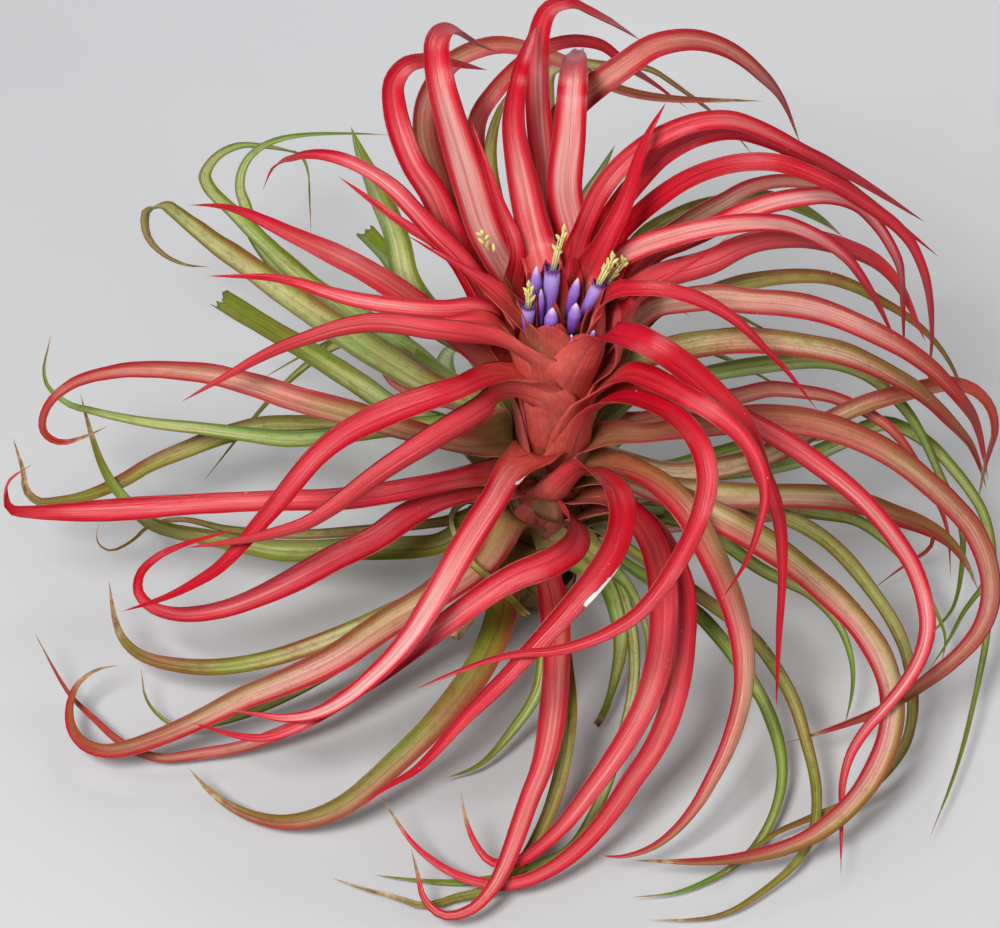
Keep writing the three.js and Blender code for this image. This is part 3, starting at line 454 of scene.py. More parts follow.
@dataclass(frozen=True)
class Row:
    """A leaf that is one solid with the stem.

    Attributes:
        name: the leaf's name.
        tone: its range of colour.
        root: azimuth and height of its root, and a radius where it stands on the crown.
        width: the blade's full width.
        heights: evenly spaced heights from root to tip.
        trace: the places in the picture that the blade passes.
        cut: how wide a blunt end is, as a share of the blade's width, or 0 for a pointed one.
    """

    name: str
    tone: Tone
    root: tuple[float, ...]
    width: float
    heights: tuple[float, ...]
    trace: tuple[tuple[float, float], ...]
    cut: float = 0.0


JOINED_ROWS = (
    Row("leaf_back_10", Tone.RED, (226, 94), 5, (94, 112, 128, 140),
        ((515, 250), (497, 200), (482, 155), (470, 118))),
    Row("bract_crown_1", Tone.RED, (172, 98, 7.6), 2.6, (95, 108, 118, 126),
        ((562, 292), (567, 272), (571, 252), (574, 236))),
    Row("leaf_right_7", Tone.RED, (100, 95), 2, (95, 110, 118, 122),
        ((640, 293), (675, 273), (702, 257), (731, 235))),
    Row("leaf_left_7", Tone.RED, (292, 97), 4, (96, 103, 103, 100),
        ((480, 322), (430, 325), (385, 330))),
    Row("leaf_left_10", Tone.RED, (262, 98, 9.5), 3, (96, 106, 112, 117),
        ((491, 289), (463, 269), (436, 253), (408, 236))),
    Row("leaf_low_right_2", Tone.OLIVE, (130, 62), 5.5, (62, 80, 90, 88, 76, 56, 30),
        ((660, 310), (710, 295), (742, 284), (791, 277), (823, 278), (850, 286), (877, 300), (904, 316),
         (930, 338), (950, 365), (977, 432))),
    Row("leaf_low_right_4", Tone.GREEN, (110, 60), 6, (60, 70, 70, 64, 48, 26, 10, 5),
        ((640, 395), (688, 381), (729, 372), (769, 366), (823, 363), (850, 370), (877, 385), (910, 420),
         (940, 480), (960, 530), (959, 579), (951, 610), (933, 631), (913, 649))),
    Row("leaf_low_right_5", Tone.SALMON, (116, 52), 5.5, (52, 62, 60, 54, 40, 18),
        ((650, 420), (700, 404), (737, 397), (769, 390), (804, 393), (837, 400), (890, 430), (925, 480),
         (946, 526), (951, 577))),
    Row("leaf_low_right_9", Tone.OLIVE, (76, 32), 5.5, (32, 40, 38, 28, 16, 8, 5, 3),
        ((700, 497), (779, 517), (818, 536), (844, 559), (869, 590), (890, 621), (905, 656), (911, 708),
         (905, 741), (884, 773), (854, 799), (815, 816), (775, 833), (742, 858), (708, 887))),
    Row("leaf_low_right_11", Tone.GREEN, (90, 32), 6, (32, 36, 34, 24, 13, 4),
        ((640, 505), (700, 505), (760, 505), (818, 513), (856, 521), (882, 538), (908, 564), (923, 590),
         (936, 613), (945, 638), (941, 664))),
    Row("leaf_low_right_12", Tone.GREEN, (100, 36), 6, (36, 38, 44, 42, 30, 17, 10, 6, 3),
        ((640, 478), (690, 478), (790, 465), (850, 440), (882, 425), (921, 441), (946, 464), (982, 515),
         (990, 560), (988, 610), (982, 655), (970, 713), (955, 770), (931, 835))),
    Row("leaf_low_right_13", Tone.GREEN, (112, 36), 5.5, (36, 42, 44, 36, 22, 10, 4),
        ((660, 470), (760, 445), (851, 433), (882, 449), (908, 467), (933, 485), (959, 515), (977, 546),
         (982, 587), (967, 605), (946, 644), (926, 674))),
    Row("leaf_low_right_14", Tone.GREEN, (66, 28), 5, (28, 34, 30, 20, 12, 4),
        ((640, 515), (700, 530), (760, 570), (810, 595), (838, 625), (851, 660), (852, 690), (844, 728))),
    Row("leaf_low_right_15", Tone.OLIVE, (46, 26), 5.5, (26, 34, 30, 22, 14, 8, 4, 2.5, 1.6),
        ((590, 530), (640, 560), (700, 600), (751, 640), (789, 696), (806, 747), (815, 790), (811, 833),
         (794, 863), (759, 893), (725, 913), (695, 919), (649, 920))),
    Row("leaf_low_right_16", Tone.GREEN, (34, 22), 5.5, (22, 30, 24, 15, 8, 4, 2.6, 2.6),
        ((590, 550), (645, 580), (700, 620), (753, 687), (772, 726), (781, 769), (776, 803), (763, 833),
         (742, 859), (708, 880), (673, 893), (633, 897))),
    Row("leaf_low_right_17", Tone.SALMON, (84, 22), 4.5, (22, 26, 24, 14, 4),
        ((650, 530), (740, 520), (850, 510), (920, 520), (933, 541), (895, 572), (872, 590))),
    Row("leaf_low_front_1", Tone.OLIVE, (12, 16), 5.5, (16, 26, 24, 16, 9, 4, 2, 2, 2),
        ((550, 600), (560, 640), (568, 704), (566, 747), (557, 790), (540, 833), (519, 867), (493, 889),
         (459, 897), (424, 906), (394, 897), (364, 889), (332, 878))),
    Row("leaf_low_front_2", Tone.GREEN, (26, 18), 3.5, (18, 24, 20, 12, 6, 3, 1.6, 1.4, 1.4),
        ((590, 560), (615, 578), (626, 604), (632, 636), (634, 669), (630, 702), (619, 745), (600, 800),
         (570, 850), (545, 863), (510, 876), (459, 882), (416, 880), (375, 875))),
    Row("leaf_low_front_3", Tone.GREEN, (18, 30), 7, (30, 26, 16, 8, 4),
        ((585, 560), (608, 582), (619, 615), (621, 647), (615, 680), (604, 713), (597, 725)), cut=0.3),
    Row("leaf_low_front_4", Tone.GREEN, (30, 30), 4, (30, 28, 22, 14),
        ((600, 560), (628, 587), (641, 615), (647, 637), (645, 669))),
    Row("leaf_low_front_6", Tone.GREEN, (352, 16), 5.5, (16, 22, 17, 9, 4, 2.4),
        ((552, 610), (545, 650), (537, 691), (515, 726), (480, 764), (444, 779))),
    Row("leaf_low_left_1", Tone.OLIVE, (304, 24), 6, (24, 25, 21, 17, 14, 15, 20),
        ((470, 560), (420, 598), (378, 619), (324, 641), (270, 659), (216, 668), (176, 666), (143, 657),
         (124, 641), (115, 619), (109, 581))),
    Row("leaf_low_left_3", Tone.SALMON, (314, 16), 5, (16, 18, 13, 6, 3, 5, 14),
        ((480, 600), (400, 660), (320, 715), (249, 745), (202, 754), (155, 758), (120, 742), (95, 720),
         (70, 695), (34, 632))),
    Row("leaf_low_left_4", Tone.GREEN, (300, 14), 4.5, (14, 17, 13, 7, 4, 10),
        ((480, 570), (380, 640), (300, 690), (230, 720), (178, 727), (148, 703), (141, 668))),
    Row("leaf_low_left_5", Tone.GREEN, (268, 54), 6.5, (54, 52, 47, 44, 46, 60),
        ((460, 425), (400, 430), (341, 437), (297, 441), (257, 438), (200, 430), (162, 426), (122, 419),
         (89, 411), (65, 403), (43, 378), (45, 362), (51, 334))),
    Row("leaf_low_left_6", Tone.OLIVE, (274, 44), 7.5, (44, 46, 43, 36, 29, 27, 42),
        ((460, 440), (400, 430), (311, 427), (270, 427), (230, 435), (189, 451), (149, 468), (122, 484),
         (78, 500), (31, 500), (22, 468), (13, 438))),
    Row("leaf_low_left_8", Tone.OLIVE, (278, 36), 3.5, (36, 32, 26, 20, 13, 13),
        ((460, 520), (380, 530), (300, 535), (230, 530), (180, 520), (149, 527), (130, 543), (108, 551),
         (97, 541), (99, 524))),
    Row("leaf_low_left_10", Tone.GREEN, (236, 46), 6.5, (46, 55, 62, 66, 63, 50, 38),
        ((420, 360), (308, 283), (260, 240), (235, 215), (211, 192), (205, 178), (211, 165), (224, 153),
         (247, 146), (274, 149), (297, 153), (307, 170), (309, 197), (311, 231))),
    Row("leaf_low_left_11", Tone.GREEN, (228, 50), 5.5, (50, 57, 61, 64, 62, 53),
        ((400, 350), (300, 290), (255, 239), (247, 211), (240, 189), (244, 167), (258, 150), (283, 139),
         (311, 135), (352, 134), (391, 135))),
    Row("leaf_low_left_12", Tone.GREEN, (256, 40), 8.5, (40, 46, 50, 52, 53),
        ((460, 440), (400, 415), (360, 388), (310, 355), (260, 325), (218, 300)), cut=0.8),
    Row("leaf_low_left_13", Tone.GREEN, (222, 68), 9, (68, 78, 86, 90, 89),
        ((440, 330), (408, 285), (397, 239), (380, 197), (361, 156), (351, 127))),
    Row("leaf_low_left_14", Tone.GREEN, (232, 66), 6, (66, 74, 78, 80),
        ((440, 320), (402, 278), (386, 256), (362, 232)), cut=0.6),
    Row("leaf_low_left_15", Tone.SALMON, (276, 52), 4, (52, 56, 58, 56),
        ((460, 410), (424, 400), (394, 385), (376, 364), (352, 352))),
    Row("leaf_low_back_1", Tone.OLIVE, (142, 72), 7, (72, 86, 96, 98, 88, 65),
        ((600, 290), (629, 259), (650, 235), (688, 214), (729, 205), (769, 200), (796, 208), (823, 222),
         (842, 236))),
    Row("leaf_low_back_2", Tone.SALMON, (150, 64), 6, (64, 82, 98, 98, 80, 43),
        ((640, 262), (690, 222), (723, 203), (748, 189), (780, 182), (810, 184), (850, 192), (872, 219),
         (891, 241), (904, 273))),
    Row("leaf_low_back_3", Tone.OLIVE, (178, 72), 6.5, (72, 100, 114, 108, 88, 57),
        ((550, 200), (546, 120), (550, 72), (577, 65), (605, 68), (648, 70), (676, 87), (704, 107),
         (718, 118), (740, 140), (755, 158))),
    Row("leaf_low_back_4", Tone.OLIVE, (194, 66), 8, (66, 84, 100, 106),
        ((500, 230), (490, 160), (500, 110), (515, 85))),
    Row("leaf_low_back_5", Tone.GREEN, (158, 70), 7, (70, 92, 102, 100),
        ((575, 240), (588, 197), (600, 175), (615, 145))),
    Row("leaf_dry_1", Tone.OLIVE, (306, 30), 2, (30, 34, 38, 38),
        ((470, 500), (452, 515), (462, 550), (475, 566), (495, 583), (528, 617)), cut=0.5),
    Row("leaf_dry_2", Tone.SALMON, (338, 22), 8.5, (22, 27, 24, 20),
        ((505, 545), (492, 575), (478, 605), (455, 640)), cut=0.85),
)

# Leaves behind the stem, which the picture hides: root azimuth and height, reach, rise, curl
HIDDEN_ROWS = (
    (150, 64, 98, 24, 34), (186, 60, 104, 26, -30), (212, 56, 92, 24, 38), (166, 46, 112, 18, -26),
    (196, 42, 104, 18, 30), (142, 36, 96, 16, -34), (218, 34, 88, 14, -36), (176, 28, 100, 12, 32),
    (154, 16, 90, 10, -30), (200, 14, 86, 9, 34),
)


@dataclass
class LeafPlan:
    """Lays out the leaves that have no solid of their own.

    Attributes:
        samples: how many points each leaf's line has.
        root_width: a blade's width at its root, as a share of its full width.
        root_off: how far off the core's side a leaf starts.
        far_start: how far a traced place may be from the root with no point between them.
        hidden_width: the full width of the leaves behind the stem.
        hidden_tip: the height that their tips come down to.
        facing: how far a traced leaf's face turns to the front.
        root_pitch: how far apart two roots are kept, round the stem and along it.
        root_range: the lowest and the highest root on the stem's side.
        root_rounds: how often the roots push each other apart.
        root_push: which share of an overlap one push takes up.
    """

    samples: int = 33
    root_width: float = 0.58
    root_off: float = 0.8
    far_start: float = 16.0
    hidden_width: float = 7.0
    hidden_tip: float = 1.2
    facing: float = 0.45
    root_pitch: tuple[float, float] = (7.4, 4.6)
    root_range: tuple[float, float] = (9, 95)
    root_rounds: int = 90
    root_push: float = 0.25

    def root_point(self, root: tuple[float, ...]) -> Array:
        """Where a leaf leaves the stem.

        Args:
            root: azimuth, height, and a radius where it stands on the crown.

        Returns:
            The first point of its line.
        """
        if len(root) == 3:
            top = beside_neck(root[0], NECK_HEIGHT, root[2] - float(neck_radius(NECK_HEIGHT)))
            return top + np.array([0, 0, 0.6])
        return beside_neck(root[0], root[1], self.root_off)

    def traced(self, row: Row) -> Array:
        """The points that a traced leaf passes.

        Args:
            row: the leaf's row in the table.

        Returns:
            The points, with the root first.
        """
        root = self.root_point(row.root)
        places = np.array([picture_of(root), *row.trace])
        lengths = np.concatenate([[0], np.cumsum(np.linalg.norm(np.diff(places, axis=0), axis=1))])
        stops = np.array([[i, h, 0] for i, h in enumerate(row.heights)], float)
        line = spaced_spline(stops, 120)
        heights = np.interp(lengths / lengths[-1] * (len(row.heights) - 1), line[:, 0], line[:, 1])
        points = [seen_at(place, float(heights[i + 1])) for i, place in enumerate(row.trace)]
        if len(row.root) == 2 and np.linalg.norm(points[0] - root) > self.far_start:
            leaving = root + outward(row.root[0]) * 4.5 + np.array([0, 0, 4])
            points.insert(0, leaving)
        return np.array([root, *points])

    def hidden(self, azimuth: float, height: float, reach: float, rise: float, curl: float) -> Array:
        """The points of a leaf that the picture hides.

        Args:
            azimuth: where its root is round the stem.
            height: its root's height.
            reach: how far it goes out.
            rise: how far it arches up.
            curl: how far it turns round the stem on its way, in degrees.

        Returns:
            The points from the root to the tip.
        """
        points = [beside_neck(azimuth, height, self.root_off)]
        for i in range(1, 7):
            along = i / 6
            drop = (height - self.hidden_tip) * along**1.8
            point = outward(azimuth + curl * along**2) * (float(neck_radius(height)) + reach * along)
            point[2] = height + rise * math.sin(math.pi * along * 0.9) - drop
            points.append(point)
        return np.array(points)

    def blade(
        self, name: str, points: Array, azimuth: float, width: float, cut: float, facing: float
    ) -> Spine:
        """A blade along a line of points, turned a little towards the front on its way out.

        Args:
            name: the leaf's name.
            points: the points of its line.
            azimuth: where its root is round the stem.
            width: its full width.
            cut: how wide a blunt end is, as a share of the width, or 0 for a pointed one.
            facing: how far its face turns to the front.

        Returns:
            The blade's line, width and turn.
        """
        centres = spaced_spline(points, self.samples)
        along = tangents_of(centres)
        side = outward(azimuth + 90)
        sides = []
        for i, tangent in enumerate(along):
            side = unit(side - tangent * float(side @ tangent))
            square = np.cross(tangent, VIEW_FORWARD)
            turning = facing * float(smoothstep(i / self.samples, 0.04, 0.4))
            sign = math.copysign(1, float(square @ side))
            turned = side + square * sign * turning / (1 - turning)
            sides.append(unit(turned - tangent * float(turned @ tangent)))
        share = np.linspace(0, 1, self.samples)
        rooted = self.root_width + (1 - self.root_width) * smoothstep(share, 0, 0.22)
        tapered = np.maximum((1 - share**1.8) ** 0.85, cut)
        return Spine(name, centres, np.array(sides), width / 2 * rooted * tapered)

    def spread(self, own: list[Spine]) -> dict[str, tuple[float, ...]]:
        """Moves the side roots apart from each other and from the own leaves' roots.

        Args:
            own: the leaves that have a solid of their own.

        Returns:
            The azimuth and height of each root, by the leaf's name.
        """
        names = [row.name for row in JOINED_ROWS if len(row.root) == 2]
        roots = [list(row.root) for row in JOINED_ROWS if len(row.root) == 2]
        names += [f"leaf_hidden_{k + 1}" for k in range(len(HIDDEN_ROWS))]
        roots += [[hidden[0], hidden[1]] for hidden in HIDDEN_ROWS]
        places = np.array(roots, float)
        held = []
        for blade in own:
            x, y, z = blade.centres[0]
            held.append([math.degrees(math.atan2(x - NECK_LEAN[0] * z, NECK_LEAN[1] * z - y)), z])
        fixed = np.array(held)
        pitch_round, pitch_along = self.root_pitch
        for _ in range(self.root_rounds):
            others = np.vstack([places, fixed])
            turn = (others[None, :, 0] - places[:, None, 0] + 540) % 360 - 180
            across = np.radians(turn) * neck_radius(places[:, 1])[:, None] / pitch_round
            rise = (others[None, :, 1] - places[:, None, 1]) / pitch_along
            apart = np.maximum(np.hypot(across, rise), 1e-3)
            push = np.where(apart < 1, (1 - apart) * self.root_push / apart, 0)
            push[np.arange(len(places)), np.arange(len(places))] = 0
            round_it = (push * across).sum(1) * pitch_round / neck_radius(places[:, 1])
            places[:, 0] -= np.degrees(round_it) * 0.5
            along_it = (push * rise).sum(1) * pitch_along
            places[:, 1] = np.clip(places[:, 1] - along_it, *self.root_range)
        return {name: (float(a), float(z)) for name, (a, z) in zip(names, places)}

    def spines(self, own: list[Spine]) -> list[Spine]:
        """All leaves that are one solid with the stem.

        Args:
            own: the leaves that have a solid of their own.

        Returns:
            Their lines, clear of each other and of the own leaves.
        """
        roots = self.spread(own)
        blades, slides = [], []
        for row in JOINED_ROWS:
            root = roots.get(row.name, row.root)
            points = self.traced(replace(row, root=root))
            blades.append(self.blade(row.name, points, root[0], row.width, row.cut, self.facing))
            slides.append(-VIEW_FORWARD)
        for k, hidden in enumerate(HIDDEN_ROWS):
            name = f"leaf_hidden_{k + 1}"
            azimuth, height = roots[name]
            points = self.hidden(azimuth, height, *hidden[2:])
            blades.append(self.blade(name, points, azimuth, self.hidden_width, 0.0, 0.0))
            slides.append(np.array([0.0, 0.0, 1.0]))
        return Parting(blades, np.array(slides), own).run()


@dataclass(frozen=True)
class Dress:
    """How one leaf has grown and aged.

    Attributes:
        flush: how red it is, from 0 green to 1 crimson.
        rim: how much redder its margins are than its middle.
        ripe: how much redder its outer half is than its base.
        pale: how pale its channel is: partly its own paler colour, partly a painted highlight along it.
        dry: how much of its end has dried, as a share of its length.
        sheath: half of the width of its clasping base.
        cut: how wide a blunt end is, as a share of its width.
        lean: how much redder one margin is than the other.
        fade: how far along the paleness reaches, as a share of its length.
        facing: how far its face turns to the front.
        slim: how much narrower its outer half is.
    """

    flush: float
    rim: float
    ripe: float
    pale: float
    dry: float = 0.03
    sheath: float = 9.4
    cut: float = 0.0
    lean: float = 0.0
    fade: float = 0.72
    facing: float = 0.0
    slim: float = 0.05


TONE_DRESS = {
    Tone.RED: Dress(0.86, 0.1, 0.08, 0.45, 0.02),
    Tone.SALMON: Dress(0.52, 0.34, 0.1, 0.7, 0.05),
    Tone.OLIVE: Dress(0.2, 0.14, 0.1, 0.7, 0.06),
    Tone.GREEN: Dress(0.06, 0.06, 0.06, 0.75, 0.04),
}


@dataclass(frozen=True)
class Look:
    """How one leaf differs from the others of its tone.

    Attributes:
        flush: how red it is, from 0 green to 1 crimson.
        pale: how pale its channel is, partly its own paler colour and partly a painted highlight along
            it, up to about 1.4 for cream.
        dry: how much of its end has dried, as a share of its length.
        ripe: how much redder its outer half is than its base, where it isn't as its tone has it.
        lean: how much redder its right-hand margin is than its left, seen from the root.
        fade: how far along the paleness reaches, as a share of its length.
        facing: how far its face turns to the front.
        slim: how much narrower its outer half is, or wider below 0.
        sheath: how much wider its clasping base is than usual.
    """

    flush: float
    pale: float
    dry: float
    ripe: float | None = None
    lean: float = 0.0
    fade: float = 0.72
    facing: float = 0.0
    slim: float = 0.05
    sheath: float = 1.0


LEAF_LOOKS: dict[str, Look] = {
    "leaf_back_1": Look(0.88, 1.1, 0.02, fade=0.62),
    "leaf_back_2": Look(0.9, 1.0, 0.03, fade=0.6),
    "leaf_back_3": Look(0.88, 1.25, 0.0, fade=0.66, slim=-0.1),
    "leaf_back_4": Look(0.88, 1.35, 0.02, fade=0.62),
    "leaf_back_5": Look(0.88, 0.9, 0.02, fade=0.6),
    "leaf_back_6": Look(0.52, 0.6, 0.06, lean=-0.12),
    "leaf_back_7": Look(0.62, 0.5, 0.05),
    "leaf_back_8": Look(0.56, 0.7, 0.06, fade=1.0),
    "leaf_back_9": Look(0.95, 0.5, 0.02, fade=0.6),
    "leaf_back_10": Look(0.86, 0.6, 0.02),
    "leaf_right_1": Look(0.9, 0.6, 0.02),
    "leaf_right_2": Look(0.92, 0.6, 0.02),
    "leaf_right_3": Look(0.98, 0.35, 0.02, fade=0.9),
    "leaf_right_4": Look(0.88, 1.15, 0.02, fade=0.9, facing=0.2),
    "leaf_right_5": Look(0.88, 1.25, 0.02, fade=0.8, facing=0.3, slim=-0.1),
    "leaf_right_6": Look(0.9, 1.25, 0.03, fade=0.8, facing=0.7, slim=-0.1),
    "leaf_right_8": Look(0.93, 0.5, 0.02, facing=0.5, slim=0.2),
    "leaf_right_9": Look(0.98, 0.35, 0.02, fade=0.9, facing=0.6, slim=0.35),
    "leaf_right_10": Look(0.95, 0.5, 0.03, fade=1.0, facing=0.3, slim=0.25),
    "leaf_right_11": Look(0.93, 0.75, 0.04, fade=1.1, facing=0.5, slim=-0.25),
    "leaf_front_1": Look(0.98, 0.35, 0.03, fade=1.1, facing=0.2),
    "leaf_front_2": Look(0.97, 0.35, 0.03, fade=1.0),
    "leaf_front_3": Look(0.97, 0.7, 0.03, fade=1.1),
    "leaf_front_4": Look(0.93, 1.0, 0.05, fade=1.1),
    "leaf_front_5": Look(0.66, 0.55, 0.04, lean=-0.34, fade=1.1),
    "leaf_front_6": Look(0.78, 0.5, 0.04, fade=1.0),
    "leaf_front_7": Look(0.76, 0.45, 0.04, fade=1.0),
    "leaf_front_8": Look(0.76, 0.8, 0.04, lean=-0.16, fade=1.1),
    "leaf_left_1": Look(0.96, 0.6, 0.03, facing=0.2),
    "leaf_left_2": Look(0.97, 0.45, 0.03, fade=0.9, facing=0.6),
    "leaf_left_3": Look(0.95, 0.75, 0.03, fade=0.8, slim=0.35),
    "leaf_left_4": Look(0.95, 0.6, 0.03, fade=1.0, facing=0.2, slim=-0.7),
    "leaf_left_5": Look(0.94, 0.9, 0.03, fade=0.8, facing=0.65),
    "leaf_left_6": Look(0.94, 0.75, 0.03, facing=0.6),
    "leaf_left_8": Look(0.93, 0.8, 0.03, fade=0.8),
    "leaf_left_9": Look(0.88, 0.5, 0.03),
    "leaf_left_11": Look(0.72, 0.45, 0.03, lean=0.1, fade=0.9, sheath=1.3),
    "leaf_left_12": Look(0.42, 0.8, 0.05, ripe=0.3, fade=0.9, sheath=1.5),
    "leaf_low_right_1": Look(0.4, 1.1, 0.04, ripe=0.4, lean=-0.12, facing=0.3, slim=-0.2),
    "leaf_low_right_2": Look(0.24, 0.5, 0.09),
    "leaf_low_right_3": Look(0.28, 1.0, 0.05, ripe=0.4, lean=-0.2, facing=0.3, slim=-0.25),
    "leaf_low_right_6": Look(0.26, 1.2, 0.06, ripe=0.4, fade=0.6, slim=-0.2),
    "leaf_low_right_7": Look(0.56, 0.8, 0.04, lean=-0.2, fade=0.9, slim=-0.12),
    "leaf_low_right_8": Look(0.46, 0.9, 0.06, lean=-0.34, fade=0.9, facing=0.2, slim=-0.15),
    "leaf_low_right_10": Look(0.34, 1.1, 0.06, lean=-0.2, facing=0.3, slim=-0.3),
    "leaf_low_front_1": Look(0.34, 0.5, 0.1, ripe=-0.2),
    "leaf_low_front_5": Look(0.26, 0.3, 0.08, ripe=0.2, lean=0.22, fade=0.95, slim=-0.1),
    "leaf_low_left_1": Look(0.16, 0.9, 0.1, ripe=0.16, facing=0.45, slim=-0.5),
    "leaf_low_left_2": Look(0.5, 1.0, 0.05, lean=0.22),
    "leaf_low_left_6": Look(0.2, 0.7, 0.1, fade=0.8, facing=0.3, slim=-0.3),
    "leaf_low_left_7": Look(0.14, 0.5, 0.08, fade=0.85),
    "leaf_low_left_9": Look(0.15, 0.9, 0.05, ripe=0.1, fade=0.95),
    "leaf_low_left_12": Look(0.08, 0.9, 0.0),
    "leaf_low_left_13": Look(0.08, 0.9, 0.0, slim=-0.3),
    "leaf_low_left_14": Look(0.06, 1.0, 0.0, slim=-0.5),
    "leaf_low_back_1": Look(0.08, 0.8, 0.05, facing=0.4, slim=-0.4),
    "leaf_low_front_2": Look(0.1, 1.5, 0.0, facing=0.5, slim=-0.8),
    "leaf_dry_1": Look(0.18, 1.6, 0.0, facing=0.8, slim=-1.2),
    "leaf_dry_2": Look(0.6, 0.3, 0.3),
}

# Torn pale margins: which margin, and from which to which length
TORN_MARGINS = {
    "leaf_front_2": (1, 68.0, 80.0),
    "leaf_front_4": (1, 13.0, 17.0),
    "leaf_front_3": (-1, 84.0, 89.0),
}


def tube_faces(rings: int, around: int, turned: bool = False) -> Faces:
    """The faces of a tube of rings that is closed at both ends.

    Args:
        rings: how many rings the tube has.
        around: how many corners each ring has.
        turned: whether the rings' corners run the other way round.

    Returns:
        The corners' numbers, face by face.
    """
    faces: Faces = []
    for i in range(rings - 1):
        for j in range(around):
            k = (j + 1) % around
            a, b, c, d = i * around + j, (i + 1) * around + j, (i + 1) * around + k, i * around + k
            faces.append((a, d, c, b) if turned else (a, b, c, d))
    last = (rings - 1) * around
    root, tip = tuple(range(around)), tuple(range(last + around - 1, last - 1, -1))
    return faces + ([root[::-1], tip[::-1]] if turned else [root, tip])


